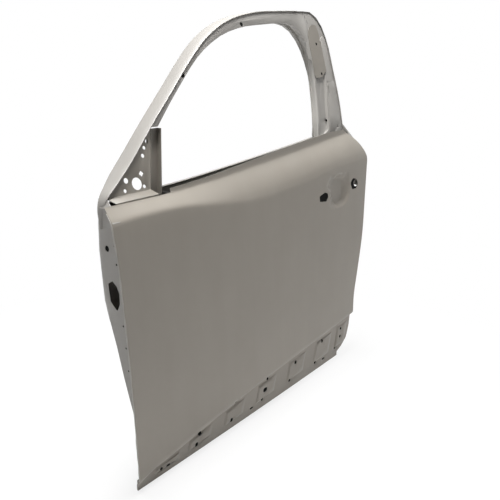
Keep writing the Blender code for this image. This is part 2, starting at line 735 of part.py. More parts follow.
def belt_flange():
    """Fold and free edge of the flange above the belt, rear to front. It narrows towards its ends."""
    places = np.linspace(BELT_END_SHARE, BELT_START_SHARE, 18) * LENGTH
    behind = (BELT_END_SHARE * LENGTH - places) / FLANGE_REAR_TAPER
    ahead = (places - BELT_START_SHARE * LENGTH) / FLANGE_FRONT_TAPER
    width = BELT_FLANGE * (FLANGE_REAR_SHARE + (1 - FLANGE_REAR_SHARE) * ease(behind))
    width *= FLANGE_FRONT_SHARE + (1 - FLANGE_FRONT_SHARE) * ease(ahead)
    fold = np.concatenate([[places[0] + HEM_ROOM], places[:-1], [places[-1] + FIT]])
    return (np.column_stack([fold, belt_z(fold)]),
            np.column_stack([places, belt_z(places) + width]))


def panel_lines():
    """Lines that the outer panel folds along, and spots that spread its faces between them."""
    places = np.linspace(*CREASE_SPAN_SHARES, CREASE_STATIONS) * LENGTH
    band = np.linspace(*CLADDING_SPAN_SHARES, CLADDING_STATIONS) * LENGTH
    folds = [(np.column_stack([places, crease_z(places)]), False),
             (np.column_stack([band, cladding_z(band)]), False),
             (np.column_stack([band, cladding_z(band) - CLADDING_RUN]), False)]
    for shares in PAD_SHARES:
        folds += [(pad_outline(shares), True), (pad_outline(shares, PAD_SLOPE), True)]
    rows = [np.column_stack([band, cladding_z(band) - CLADDING_RUN / 2])]
    for share in SHOULDER_ROW_SHARES:
        rise = share * (belt_z(places) - crease_z(places))
        rows.append(np.column_stack([places, crease_z(places) + rise])[:-1])
    for share in BODY_ROW_SHARES:
        rows.append(np.column_stack([places, np.full(len(places), share * BELT_HEIGHT)])[::2])
    spots = np.vstack(rows)
    rings = [circle((SCOOP_X, SCOOP_Z), SCOOP_LENGTH * share, SCOOP_HEIGHT * share, SCOOP_SIDES)
             for share in SCOOP_RING_SHARES]
    return folds, np.vstack([spots[~inside(spots, rings[0])]] + rings)


def build_outer_panel():
    edge, seat = rim()
    top = np.array([[front_x(BELT_HEIGHT), BELT_HEIGHT]])
    rear = skin_rear_edge()[len(hem_reach(skin_rear_edge())):]
    belt_fold, flange_top = belt_flange()
    lead_x = np.linspace(BELT_START_SHARE, 0, 6)[:-1] * LENGTH
    lead = np.column_stack([lead_x, belt_z(lead_x)])
    outline = np.vstack([top, edge, rear, flange_top, lead])
    folds, spots = panel_lines()
    folds += [(belt_fold, False), (seat, False)]
    holes = [circle((x * LENGTH, z * BELT_HEIGHT), w * CLIP_HOLE, h * CLIP_HOLE, 8)
             for x, z, w, h in CLADDING_HOLE_SHARES]
    holes += [lock_hole(), rounded(beside_scoop(ARM_HOLE_OFFSETS), ARM_HOLE_CORNER, 2)]
    surface = bmesh.new()
    lay_sheet(surface, outline, skin, holes, folds, spots)
    lay_strips(surface, [ring_at(edge, skin(*edge.T)), on_rim(edge, seat, 0, HEM_THICKNESS),
                         on_rim(edge, seat, HEM_WIDTH, HEM_THICKNESS)])
    return finish_sheet("outer_panel", surface, SKIN_GAUGE, STEEL, Vector((0, -1, 0)))


def lock_hole(grow=0.0):
    """The hole for the lock cap, behind the scoop."""
    return circle(beside_scoop([LOCK_OFFSET])[0], LOCK_WIDTH + grow, LOCK_HEIGHT + grow, 14)


def panel_rim():
    """The inner panel's rings round its rim, in order: flange tip, foot, end of flat wall, corner."""
    edge, seat = rim()
    end = len(hinge_heights())
    sill_end = end + len(sill_places())
    gap = np.full(len(edge), SKIN_GAUGE + HEM_FIT + PANEL_GAUGE)
    gap[[end, sill_end]] += HEM_FIT / 2
    _, flats, corner_x, corner_z = np.array(HINGE_WALL_SHARES).T
    along = np.maximum(sill_places(), HINGE_FACE_X)
    rear = seat[sill_end - 1:]
    corner = np.vstack([
        np.column_stack([corner_x * LENGTH, corner_z * BELT_HEIGHT]),
        np.column_stack([follow(SILL_PLACE_SHARES, along, LENGTH, LENGTH),
                         follow(SILL_HEIGHT_SHARES, along, LENGTH, BELT_HEIGHT)]),
        beside(rear, REAR_DRAFT)[1:]])
    flat = np.concatenate([flats * DEPTH, follow(SILL_FLAT_SHARES, along, LENGTH, DEPTH),
                           np.full(len(edge) - sill_end, REAR_FLAT_SHARE * DEPTH)])
    tip = on_rim(edge, seat, SKIN_GAUGE + HEM_FIT, gap)
    foot = on_rim(edge, seat, 1, gap)

    # Above the hem, the wall's free edge leaves the outer panel
    free = foot[:1] + (0, HEM_ROOM, HEM_ROOM)
    tip, foot = np.vstack([free, tip]), np.vstack([free, foot])
    corner = np.vstack([corner[:1] + (0, HEM_ROOM), corner])
    flat = np.concatenate([flat[:1], flat])

    front, rear = frame_edge()
    frame = np.vstack([rear[::-1], front[-2::-1]])
    lean = frame_face(frame[:, 1])
    lip = np.append(np.full(len(frame) - 1, FRAME_LIP), 0.0)
    tip = np.vstack([tip, ring_at(frame, lean - lip)])
    foot = np.vstack([foot, ring_at(frame, lean)])
    corner = np.vstack([corner, beside(frame, FRAME_DRAFT)])
    flat = np.concatenate([flat, lean + FRAME_FLAT_SHARE * (cabin_face(frame[:, 1]) - lean)])
    return [tip, foot, ring_at(foot[:, (0, 2)], flat)], corner


def window_ledge():
    """The window opening's edge on the cabin face, from the front pillar over to the rear one."""
    edge = window_edge()
    along = np.linspace(0, 1, len(edge))
    return beside(edge, -follow(LEDGE_SHARES, along, 1, LEDGE))


def belt_sill(count):
    """The window opening's lower edge on the cabin face, from the rear pillar to the front post."""
    front = POST_X + POST_WIDTH + POST_ROOM
    places = np.linspace(window_ledge()[-1, 0], front, count)
    return np.column_stack([places, belt_z(places) + BELT_SILL])


def carrier_outline(grow=0.0):
    """Corners of the window carrier's opening, with each side moved out."""
    return beside_loop(body_points(CARRIER_SHARES), -grow)


def panel_depth(x, z):
    """Depth of the inner panel's cabin side, with the recess that seats the window carrier."""
    seat = rounded(carrier_outline(CARRIER_MARGIN + CARRIER_SLOPE / 2), CARRIER_CORNER)
    return cabin_face(z) - CARRIER_RECESS * inside(np.column_stack([x, z]), seat)


def pillar_line(inset, low, rear):
    """The front pillar's outer line, moved in by an inset and cut at a height and at a place."""
    line = beside(frame_edge()[0], -inset)
    start = np.interp(low, line[:, 1], line[:, 0])
    top = np.interp(rear, line[:, 0], line[:, 1])
    between = (line[:, 1] > low + WALL_ROOM) & (line[:, 0] < rear - WALL_ROOM)
    return np.vstack([[(start, low)], line[between], [(rear, top)]])


def build_inner_panel():
    walls, corner = panel_rim()
    rings = list(walls)
    for inset, rise in CORNER_SHARES:
        ring = beside_loop(corner, inset * CORNER_RADIUS)
        rings.append(ring_at(ring, cabin_face(ring[:, 1]) - rise * CORNER_RADIUS))
    outline = rings[-1][:, (0, 2)]

    ledge = window_ledge()
    sill = belt_sill(14)
    sail = pillar_line(SAIL_MARGIN, BELT_HEIGHT - SAIL_DROP, ledge[0, 0] - SAIL_CORNER)
    floor = np.array([(sill[-1, 0] - SAIL_CORNER, sail[0, 1]), sail[0] + (SAIL_CORNER, 0)])
    window = np.vstack([ledge, sill, floor, sail[1:-1]])
    carrier = rounded(carrier_outline(), CARRIER_CORNER)
    holes = [window, carrier, circle((SPEAKER_X, SPEAKER_Z), SPEAKER_DIAMETER, sides=28)]
    for across, up, width in CABIN_HOLE_SHARES:
        holes.append(circle(body_points([(across, up)])[0], width * TRIM_HOLE, sides=8))
    folds = [(rounded(carrier_outline(CARRIER_MARGIN), CARRIER_CORNER), True),
             (rounded(carrier_outline(CARRIER_MARGIN + CARRIER_SLOPE), CARRIER_CORNER), True)]
    for span, count in ((FRONT_BEND_SHARES, 2), (BEND_SHARES, 14)):
        bend = np.linspace(*span, count) * LENGTH
        folds.append((np.column_stack([bend, np.full(count, BELT_HEIGHT)]), False))

    surface = bmesh.new()
    lay_sheet(surface, outline, panel_depth, holes, folds)
    lay_strips(surface, rings, closed=True)
    face = ring_at(window, cabin_face(window[:, 1]))
    lay_strips(surface, [face, face - (0, RETURN_FLANGE, 0)], closed=True)
    panel = finish_sheet("inner_panel", surface, PANEL_GAUGE, STEEL, Vector((0, 1, 0)))
    cut_hinge_wall(panel)
    cut_latch_wall(panel)


def cut_hinge_wall(panel):
    """Holes in the wall that faces the front of the car."""
    near = HINGE_FACE_X - CUT_OVERRUN
    far = HINGE_FACE_X + PANEL_GAUGE + CUT_OVERRUN
    bolt = circle((BOLT_HOLE_Y, BOLT_HOLE_Z), HINGE_HOLE, sides=12)
    cut(panel, "cut_hinge_bolt", prism(bolt, near, far, "X"))
    opening = np.array(HARNESS_SHARES) * (DEPTH, BELT_HEIGHT)
    cut(panel, "cut_harness_opening", prism(rounded(opening, HARNESS_CORNER, 2), near, far, "X"))
    for index, (depth_share, height_share) in enumerate(DRAIN_SHARES, 1):
        place = (depth_share * DEPTH, height_share * BELT_HEIGHT)
        drain = prism(circle(place, DRAIN_HOLE, sides=6), near, far, "X")
        cut(panel, f"cut_drain_{index}", drain)


def latch_face_x(z):
    """Place of the rear wall's outer side at a height."""
    edge = skin_rear_edge()
    wall = beside(edge, HEM_WIDTH + HEM_ROOM)
    order = np.argsort(wall[:, 1])
    return np.interp(z, wall[order, 1], wall[order, 0])


def cut_latch_wall(panel):
    """The latch's mouth and its screw holes, in the wall that faces the rear of the car."""
    near = latch_face_x(LATCH_Z) - LATCH_WIDTH
    far = latch_face_x(LATCH_Z) + HEM_WIDTH
    cut(panel, "cut_latch_mouth", prism(latch_mouth(), near, far, "X"))
    for index, place in enumerate(latch_screws(), 1):
        body = prism(circle(place, LATCH_SCREW_HOLE, sides=10), near, far, "X")
        cut(panel, f"cut_latch_screw_{index}", body)


def build_frame_outer():
    """The outboard strip of the front pillar and the header, with its glass-side flange."""
    outer = beside(smooth_path(frame_points(FRAME_FRONT_SHARES[2:]), 18), -WALL_ROOM)
    seam = smooth_path(frame_points(PILLAR_SEAM_SHARES), 4)
    edge = window_edge()
    passed = (edge[:, 0] > seam[0, 0] * STRIP_TAIL_SHARE) & (edge[:, 1] < seam[-1, 1])
    kept = edge[:np.argmax(passed)]
    outline = np.vstack([outer, seam, kept[::-1]])
    holes = [circle(place, STRIP_HOLE, sides=8) for place in frame_points(STRIP_HOLE_SHARES)]
    surface = bmesh.new()
    lay_sheet(surface, outline, lambda x, z: frame_face(z), holes)
    turned = past_post(kept)
    face = ring_at(turned, frame_face(turned[:, 1]))
    lay_strips(surface, [face, face + (0, STRIP_FLANGE, 0)])
    return finish_sheet("frame_outer", surface, BRACE_GAUGE, STEEL, Vector((0, -1, 0)))


def past_post(path):
    """The points of a path that lie behind the front post."""
    return path[path[:, 0] > post_x(path[:, 1]) + POST_WIDTH + WALL_ROOM]


def pillar_edges(count):
    """Heights down the rear pillar with the places of its glass edge, rib and rear edge."""
    top = frame_points(PILLAR_SEAM_SHARES)[0, 1]
    heights = np.linspace(top, belt_z(LENGTH) - PILLAR_OVERLAP, count)
    edge = window_edge()[::-1]
    edge = edge[:np.argmax(edge[:, 1]) + 1]
    seam = frame_points(PILLAR_SEAM_SHARES)[::-1] + (SEAM_GAP, 0)
    glass = np.interp(heights, edge[:, 1], edge[:, 0])
    above = heights > seam[0, 1] - SEAM_GAP
    glass[above] = np.interp(heights[above], seam[:, 1], seam[:, 0])
    rib = frame_points(PILLAR_RIB_SHARES)[::-1]
    rear = frame_edge()[1][::-1]
    return (heights, glass, np.interp(heights, rib[:, 1], rib[:, 0]),
            np.interp(heights, rear[:, 1], rear[:, 0]) - 2 * WALL_ROOM)


def build_pillar_outer():
    """The rear pillar's outboard pressing: a channel beside the glass and a raised rear land."""
    heights, glass, rib, rear = pillar_edges(15)
    head = beside(smooth_path(frame_points(FRAME_REAR_SHARES), 13), -WALL_ROOM)
    head[0] += (2 * SEAM_GAP, 0)
    head = head[head[:, 1] > heights[0]]
    near = np.column_stack([glass, heights])
    lip = near + (CHANNEL_LIP, 0)
    floor = near + (CHANNEL_LIP + CHANNEL_SLOPE, 0)
    ramp = np.column_stack([rib - CHANNEL_SLOPE, heights])
    ridge = np.column_stack([rib, heights])
    outline = np.vstack([near[::-1], head, np.column_stack([rear, heights])[1:]])

    def depth(x, z):
        left = np.interp(z, heights[::-1], (glass + CHANNEL_LIP)[::-1])
        right = np.interp(z, heights[::-1], rib[::-1])
        sunk = np.minimum((x - left) / CHANNEL_SLOPE, (right - x) / CHANNEL_SLOPE)
        sunk = np.where(z > heights[0] - CHANNEL_SLOPE, 0, sunk)
        return frame_face(z) + CHANNEL_DEPTH * np.clip(sunk, 0, 1)

    folds = [(path[2:-1], False) for path in (lip, floor, ramp, ridge)]
    holes = [circle(place, PILLAR_HOLE, sides=8) for place in frame_points(PILLAR_HOLE_SHARES)]
    return pressing("pillar_outer", outline, depth, BRACE_GAUGE, STEEL, holes, folds)


def build_pillar_plate():
    """The stiffening plate on the rear pillar's land, with its striker-side slot."""
    heights, _, rib, rear = pillar_edges(15)
    kept = heights < PILLAR_PLATE_TOP_SHARE * FRAME_HEIGHT + BELT_HEIGHT
    left = np.column_stack([rib + PLATE_MARGIN, heights])[kept]
    right = np.column_stack([rear - PLATE_MARGIN, heights])[kept]
    outline = np.vstack([left[::-1], right])
    slot = frame_points([PILLAR_SLOT_SHARES])[0]
    holes = [circle(slot, SLOT_WIDTH, SLOT_LENGTH, 12)]
    holes += [circle(place, PILLAR_HOLE, sides=8) for place in frame_points(PLATE_HOLE_SHARES)]
    lift = BRACE_GAUGE + FIT
    return pressing("pillar_plate", outline, lambda x, z: frame_face(z) - lift, BRACE_GAUGE, STEEL,
                    holes)


def build_glass_run():
    """The channel behind the frame's glass edge that holds the glass run."""
    edge = past_post(window_edge())[1:-1]
    lean = frame_face(edge[:, 1])
    lip = beside(edge, BRACE_GAUGE + FIT)
    back = beside(edge, RUN_DEPTH)
    start = BRACE_GAUGE + FIT * 4
    rings = [ring_at(lip, lean + start), ring_at(lip, lean + STRIP_FLANGE + FIT),
             ring_at(back, lean + STRIP_FLANGE + FIT),
             ring_at(back, lean + STRIP_FLANGE + RUN_WIDTH),
             ring_at(lip, lean + STRIP_FLANGE + RUN_WIDTH)]
    surface = bmesh.new()
    lay_strips(surface, rings)
    return finish_sheet("glass_run_channel", surface, PANEL_GAUGE, STEEL, Vector((1, 0, -1)))


def build_mirror_plate():
    """The plate in the mirror corner, with its fixing holes and a flange to the outer panel."""
    line = beside(frame_edge()[0], -WALL_ROOM)
    low = BELT_HEIGHT + SAIL_FOOT
    line = line[(line[:, 0] < post_x(line[:, 1]) - WALL_ROOM) & (line[:, 1] > low + WALL_ROOM)]
    foot = np.array([np.interp(low, frame_edge()[0][:, 1], frame_edge()[0][:, 0]) + WALL_ROOM, low])
    holes = []
    for across, up, width, sides in SAIL_HOLE_SHARES:
        place = (across * LENGTH, BELT_HEIGHT + up * FRAME_HEIGHT)
        holes.append(circle(place, width * STUD_HOLE, sides=sides))

    def depth(x, z):
        return frame_face(z) + SAIL_RECESS

    surface = bmesh.new()
    rear = post_x(low) - WALL_ROOM
    edge = np.column_stack([np.linspace(foot[0], rear, 4), np.full(4, low)])
    head = line[-1, 1] + WALL_ROOM
    outline = np.vstack([edge, [(post_x(head) - WALL_ROOM, head)], line[::-1]])
    lay_sheet(surface, outline, depth, holes)
    seat = belt_depth(edge[:, 0]) + SKIN_GAUGE + 3 * FIT
    sill = np.column_stack([edge[:, 0], np.full(len(edge), BELT_HEIGHT + SAIL_TURN)])
    turned = sill - (0, SAIL_FOOT)
    lay_strips(surface, [ring_at(edge, depth(*edge.T)), ring_at(sill, seat), ring_at(turned, seat)])
    return finish_sheet("mirror_plate", surface, BRACE_GAUGE, STEEL, Vector((0, -1, 0)))


def post_depth(z):
    """Depth of the front post's floor, which leans in above the belt and runs straight below it."""
    return FRAME_FOOT + SAIL_RECESS + POST_DEPTH + TUMBLE * np.clip(z - BELT_HEIGHT, 0, None)


def post_x(z):
    """Place of the front post's front wall, which leans to the rear."""
    return POST_X + math.tan(math.radians(POST_LEAN_DEG)) * (z - BELT_HEIGHT)


def channel_rings(front, width, heights, floor, wall):
    """Rings of a channel that opens outboard, front wall first."""
    low = [np.column_stack([place, heights]) for place in (front, front + width)]
    return [ring_at(low[0], floor - wall), ring_at(low[0], floor), ring_at(low[1], floor),
            ring_at(low[1], floor - wall)]


def build_front_post():
    heights = np.array([POST_FOOT_Z, (POST_FOOT_Z + BELT_HEIGHT) / 2, BELT_HEIGHT, POST_TOP_Z])
    surface = bmesh.new()
    lay_strips(surface, channel_rings(post_x(heights), POST_WIDTH, heights, post_depth(heights),
                                      POST_DEPTH))
    return finish_sheet("front_glass_post", surface, BRACE_GAUGE, STEEL, Vector((-1, 0, 0)))


def build_rear_channel():
    heights = np.array([REAR_CHANNEL_FOOT_Z, REAR_CHANNEL_TOP_Z])
    floor = np.full(2, GLASS_DEPTH + REAR_CHANNEL_DEPTH)
    surface = bmesh.new()
    front = np.full(2, REAR_CHANNEL_X)
    lay_strips(surface, channel_rings(front, REAR_CHANNEL_WIDTH, heights, floor,
                                      REAR_CHANNEL_DEPTH))
    return finish_sheet("rear_glass_channel", surface, BRACE_GAUGE, BRACE_STEEL, Vector((-1, 0, 0)))


def channel_bracket(name, x, width, height, floor):
    """A hat bracket that joins a channel's floor to the inner panel's outboard side."""
    near = floor + FIT
    far = cabin_face(height) - PANEL_GAUGE - FIT - BRACE_GAUGE
    reach = BRACKET_FOOT
    places = [x - reach * 2, x - reach, x, x + width, x + width + reach, x + width + reach * 2]
    depths = [far, far, near, near, far, far]
    rows = []
    for z in (height, height + BRACKET_HEIGHT):
        rows.append(np.column_stack([places, depths, np.full(len(places), z)]))
    surface = bmesh.new()
    lay_strips(surface, rows)
    return finish_sheet(name, surface, BRACE_GAUGE, BRACE_STEEL, Vector((0, -1, 0)))


def beaded(name, span, low, high, seat, bead_way):
    """A belt pressing from a low to a high line, with one long bead. Seat gives its depth."""
    places = np.linspace(*span, BELT_BRACE_POINTS)
    levels = [low(places) + (high(places) - low(places)) * share for share in BEAD_SHARES]

    def depth(x, z):
        across = (z - low(x)) / (high(x) - low(x))
        start, crest, back, end = BEAD_SHARES
        rise = np.interp(across, (start, crest, back, end), (0.0, BELT_BEAD, BELT_BEAD, 0.0))
        return seat(x, z) + rise * bead_way

    outline = np.vstack([np.column_stack([places, low(places)]),
                         np.column_stack([places, high(places)])[::-1]])
    folds = [(np.column_stack([places, level])[1:-1], False) for level in levels]
    bend = np.column_stack([places, np.full(len(places), BELT_HEIGHT)])
    bend = bend[(low(places) < BELT_HEIGHT - FIT) & (high(places) > BELT_HEIGHT + FIT)]
    if len(bend) > 1:
        folds.append((bend, False))
    return pressing(name, outline, depth, BRACE_GAUGE, BRACE_STEEL, folds=folds)


def build_belt_reinforcements():
    """The pressings that stiffen the belt on both sides of the glass."""
    outer_end, inner_end = (share * LENGTH for share in BELT_BRACE_END_SHARES)
    beaded("belt_reinforcement_outer", (BELT_START_SHARE * LENGTH + POST_ROOM, outer_end),
           lambda x: belt_z(x) - BELT_BRACE_DROP, lambda x: belt_z(x) + BELT_SILL,
           lambda x, z: belt_depth(x) + SKIN_GAUGE + 2 * FIT, 1)
    lip = BELT_SILL - PANEL_GAUGE - 2 * HEM_FIT
    beaded("belt_reinforcement_inner", (POST_X + POST_WIDTH + POST_ROOM, inner_end),
           lambda x: belt_z(x) - BELT_BRACE_DROP, lambda x: belt_z(x) + lip,
           lambda x, z: cabin_face(z) - SLANT * (PANEL_GAUGE + BRACE_GAUGE + 3 * FIT), -1)


def angle_plate(name, span, depths):
    """A plate behind the hinge wall, with a flange that points to the rear."""
    x = HINGE_FACE_X + PANEL_GAUGE + FIT
    near, far = depths
    outline = [(x, near), (x + BRACE_GAUGE, near), (x + BRACE_GAUGE, far - BRACE_GAUGE),
               (x + HINGE_PLATE_FLANGE, far - BRACE_GAUGE), (x + HINGE_PLATE_FLANGE, far), (x, far)]
    return add_object(name, prism(outline, *span, "Z"), BRACE_STEEL)


def build_hinge_reinforcements():
    upper = angle_plate("hinge_reinforcement_upper", UPPER_PLATE_SPAN, UPPER_PLATE_DEPTHS)
    angle_plate("hinge_reinforcement_lower", LOWER_PLATE_SPAN, LOWER_PLATE_DEPTHS)
    wall = HINGE_FACE_X + PANEL_GAUGE + FIT
    place = (BOLT_HOLE_Y, BOLT_HOLE_Z)
    bolt = prism(circle(place, PLATE_BOLT_HOLE, sides=12), wall - CUT_OVERRUN,
                 wall + BRACE_GAUGE + CUT_OVERRUN, "X")
    cut(upper, "cut_upper_plate_bolt", bolt)
    near = wall + BRACE_GAUGE + FIT
    nut = add_object("hinge_nut", prism(circle(place, NUT_WIDTH, sides=6), near, near + NUT_HEIGHT,
                                        "X"), ZINC)
    bore = prism(circle(place, NUT_BORE, sides=12), near - CUT_OVERRUN,
                 near + NUT_HEIGHT + CUT_OVERRUN, "X")
    cut(nut, "cut_nut_bore", bore)


def latch_mouth(grow=0.0):
    """Outline of the latch's mouth, as (depth, height)."""
    width = LATCH_WIDTH / 2 + grow
    height = LATCH_HEIGHT / 2 + grow
    return rounded([(LATCH_DEPTH - width, LATCH_Z - height), (LATCH_DEPTH + width, LATCH_Z - height),
                    (LATCH_DEPTH + width, LATCH_Z + height), (LATCH_DEPTH - width, LATCH_Z + height)],
                   LATCH_CORNER, 2)


def latch_screws():
    """Places of the latch's three screws beside its mouth, as (depth, height)."""
    side = LATCH_WIDTH / 2 + LATCH_SCREW_ROOM
    rise = LATCH_HEIGHT / 2 - LATCH_SCREW_ROOM
    return [(LATCH_DEPTH - side, LATCH_Z + rise), (LATCH_DEPTH - side, LATCH_Z - rise),
            (LATCH_DEPTH + side, LATCH_Z)]


def build_latch_reinforcement():
    heights = np.linspace(LATCH_Z - LATCH_PLATE_HEIGHT / 2, LATCH_Z + LATCH_PLATE_HEIGHT / 2, 5)
    wall = latch_face_x(heights) - PANEL_GAUGE - 3 * FIT
    near, far = LATCH_PLATE_DEPTHS
    rows = []
    for x, depth in ((wall, near), (wall, far), (wall - LATCH_WIDTH, far)):
        rows.append(ring_at(np.column_stack([x, heights]), depth))
    surface = bmesh.new()
    lay_strips(surface, rows)
    plate = finish_sheet("latch_reinforcement", surface, BRACE_GAUGE, BRACE_STEEL,
                         Vector((1, 0, 0)))
    low = latch_face_x(LATCH_Z) - LATCH_WIDTH + BRACE_GAUGE
    high = latch_face_x(LATCH_Z) + HEM_WIDTH
    cut(plate, "cut_latch_plate_mouth", prism(latch_mouth(BRACE_GAUGE), low, high, "X"))
    for index, place in enumerate(latch_screws(), 1):
        body = prism(circle(place, LATCH_SCREW_HOLE, sides=10), low, high, "X")
        cut(plate, f"cut_latch_plate_screw_{index}", body)


def beam_ends():
    """Start and end of the door beam's centre line."""
    reach = BEAM_DIAMETER / 2 + SADDLE_FLANGE
    start_x = HINGE_FACE_X + PANEL_GAUGE + BEAM_DIAMETER
    end_x = latch_face_x(BEAM_REAR_Z - reach) - PANEL_GAUGE - BEAM_DIAMETER
    depth = PLAN_BOW + CROWN + BEAM_STANDOFF + BEAM_DIAMETER / 2
    return Vector((start_x, depth, BEAM_FRONT_Z)), Vector((end_x, depth, BEAM_REAR_Z))


def across_beam(centre, way, outline):
    """Points of an outline, as (inboard, up) places, in the plane across the beam."""
    inboard = Vector((0, 1, 0))
    up = way.cross(inboard)
    return [tuple(centre + inboard * depth + up * rise) for depth, rise in outline]


def build_beam():
    start, end = beam_ends()
    way = (end - start).normalized()
    tube = circle((0, 0), BEAM_DIAMETER, sides=16)
    bore = circle((0, 0), BEAM_DIAMETER - 2 * BEAM_WALL, sides=16)
    beam = add_object("door_beam", swept(lambda at: across_beam(at, way, tube), [start, end]),
                      BRACE_STEEL)
    over = way * CUT_OVERRUN
    hollow = swept(lambda at: across_beam(at, way, bore), [start - over, end + over])
    cut(beam, "cut_beam_bore", hollow)

    hug = BEAM_DIAMETER / 2 + FIT
    turn = np.linspace(-math.pi / 2, math.pi / 2, 9)
    saddle = ([(0, -hug - SADDLE_FLANGE)] + [(math.cos(a) * hug, math.sin(a) * hug) for a in turn]
              + [(0, hug + SADDLE_FLANGE)])
    room = BEAM_DIAMETER - (hug + SADDLE_FLANGE) * abs(way.z) - FIT
    for name, rest, step in (("beam_bracket_front", start, way), ("beam_bracket_rear", end, -way)):
        rows = [np.array(across_beam(rest - step * room, way, saddle)),
                np.array(across_beam(rest + step * SADDLE_LENGTH, way, saddle))]
        surface = bmesh.new()
        lay_strips(surface, rows)
        finish_sheet(name, surface, BRACE_GAUGE, BRACE_STEEL, Vector((0, -1, 0)))


def build_handle_reinforcement():
    """The plate behind the handle, with a mouth that clears the finger scoop and the arm's hole."""
    (front, rear), (low, high) = HANDLE_PLATE_REACH, HANDLE_PLATE_SPAN
    turn = np.linspace(0, -math.pi, 17)
    front_reach = HANDLE_ROOM - ARM_HOLE_OFFSETS[0][0]
    reach = np.where(np.cos(turn) > 0, (SCOOP_LENGTH + HANDLE_ROOM) / 2, front_reach)
    fall = (SCOOP_HEIGHT + HANDLE_ROOM) / 2
    mouth = np.column_stack([SCOOP_X + np.cos(turn) * reach, SCOOP_Z + np.sin(turn) * fall])
    outline = np.vstack([[(front, low), (rear, low), (rear, high), (mouth[0, 0], high)], mouth,
                         [(mouth[-1, 0], high), (front, high)]])
    seat = SKIN_GAUGE + HEM_FIT
    return pressing("handle_reinforcement", outline, lambda x, z: behind_skin(x, z, seat),
                    BRACE_GAUGE, BRACE_STEEL, [lock_hole(LOCK_ROOM)])


def build_mastic():
    """Pads of mastic that tie the outer panel to the door beam."""
    start, end = beam_ends()
    for index, share in enumerate(MASTIC_SHARES, 1):
        centre = start.lerp(end, share)
        front, rear = centre.x - MASTIC_LENGTH / 2, centre.x + MASTIC_LENGTH / 2
        low, high = centre.z - MASTIC_WIDTH / 2, centre.z + MASTIC_WIDTH / 2
        corners = [(front, low), (rear, low), (rear, high), (front, high)]
        near = max(behind_skin(x, z, SKIN_GAUGE + FIT) for x, z in corners)
        far = centre.y - BEAM_DIAMETER / 2 - FIT
        add_object(f"mastic_pad_{index}", prism(rounded(corners, MASTIC_WIDTH / 4), near, far, "Y"),
                   MASTIC)


def main():
    for old in list(bpy.data.objects):
        bpy.data.objects.remove(old, do_unlink=True)
    datum = bpy.data.objects.new("door_datum", None)
    bpy.context.scene.collection.objects.link(datum)
    datum.location = [-value for value in ORIGIN]
    build_outer_panel()
    build_inner_panel()
    build_frame_outer()
    build_pillar_outer()
    build_pillar_plate()
    build_glass_run()
    build_mirror_plate()
    build_front_post()
    build_rear_channel()
    channel_bracket("front_post_bracket", post_x(POST_FOOT_Z), POST_WIDTH, POST_FOOT_Z,
                    post_depth(POST_FOOT_Z))
    channel_bracket("rear_channel_bracket", REAR_CHANNEL_X, REAR_CHANNEL_WIDTH,
                    REAR_CHANNEL_FOOT_Z, GLASS_DEPTH + REAR_CHANNEL_DEPTH)
    build_belt_reinforcements()
    build_hinge_reinforcements()
    build_latch_reinforcement()
    build_beam()
    build_handle_reinforcement()
    build_mastic()


main()
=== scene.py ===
"""Looks of a bare front door shell in primer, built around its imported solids.

The frame is the solids' own: the origin is on the upper hinge's seat, +X runs to the rear of the
car, +Y into the cabin and +Z up. Lengths are in metres.
"""

import logging
import math
from dataclasses import dataclass, field
from enum import Enum

import bmesh
import bpy
import numpy as np
from mathutils import Matrix, Vector
from mathutils.geometry import delaunay_2d_cdt

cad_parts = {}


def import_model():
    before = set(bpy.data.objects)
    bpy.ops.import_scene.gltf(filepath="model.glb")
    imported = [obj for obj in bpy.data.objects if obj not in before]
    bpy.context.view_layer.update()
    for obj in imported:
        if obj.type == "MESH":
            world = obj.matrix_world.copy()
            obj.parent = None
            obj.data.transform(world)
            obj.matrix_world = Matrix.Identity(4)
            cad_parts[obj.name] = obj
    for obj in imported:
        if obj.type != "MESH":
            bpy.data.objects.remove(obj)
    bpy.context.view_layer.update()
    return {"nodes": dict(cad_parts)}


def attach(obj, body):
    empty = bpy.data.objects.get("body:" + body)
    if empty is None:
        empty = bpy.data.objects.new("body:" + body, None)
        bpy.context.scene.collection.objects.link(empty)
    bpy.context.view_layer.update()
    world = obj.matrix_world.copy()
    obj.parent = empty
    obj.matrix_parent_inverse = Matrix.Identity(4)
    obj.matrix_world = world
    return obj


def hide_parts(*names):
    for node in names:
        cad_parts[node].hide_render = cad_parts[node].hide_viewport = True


LOG = logging.getLogger("door_shell")

Row = tuple[float, ...]
Path = np.ndarray
Piece = bpy.types.Object
Tree = bpy.types.NodeTree
Socket = bpy.types.NodeSocket
Surface = bmesh.types.BMesh

CORNER = Vector((-0.014, -0.050, -0.650))
MERGE = 0.00002
EDGE_ANGLE = math.radians(40)
SOLID_ANGLE = math.radians(28)
SHEET_ANGLE = math.radians(38)
BEAD_ANGLE = math.radians(50)
FLAT_ANGLE = math.radians(0.2)


class Slot(Enum):
    """Material slots of the record."""

    STEEL = "primed_steel"
    BRACE = "primed_brace_steel"
    ZINC = "zinc_plated_steel"
    MASTIC = "mastic"


# Shader groups

CLOUD_SCALE = 3.2
RUN_SCALE = 2.2
RUN_STRETCH = (9.0, 9.0, 1.6)
GRIT_SCALE = 420.0
GRIT_LIMITS = (0.70, 0.80)
SMEAR_SCALE = 14.0
GLOSS_REACH = 0.05
PEEL_SCALE = 260.0
WAVE_SCALE = 7.0
BUMP_DISTANCE = 0.002


def add_socket(group: Tree, name: str, kind: str, way: str, value: float | None = None) -> None:
    """Add a socket to a shader group.

    Args:
        group: The group's node tree.
        name: The socket's name.
        kind: The socket's type, such as NodeSocketFloat.
        way: INPUT or OUTPUT.
        value: Default of an input, where it has one.
    """
    socket = group.interface.new_socket(name=name, in_out=way, socket_type=kind)
    if value is not None:
        socket.default_value = value


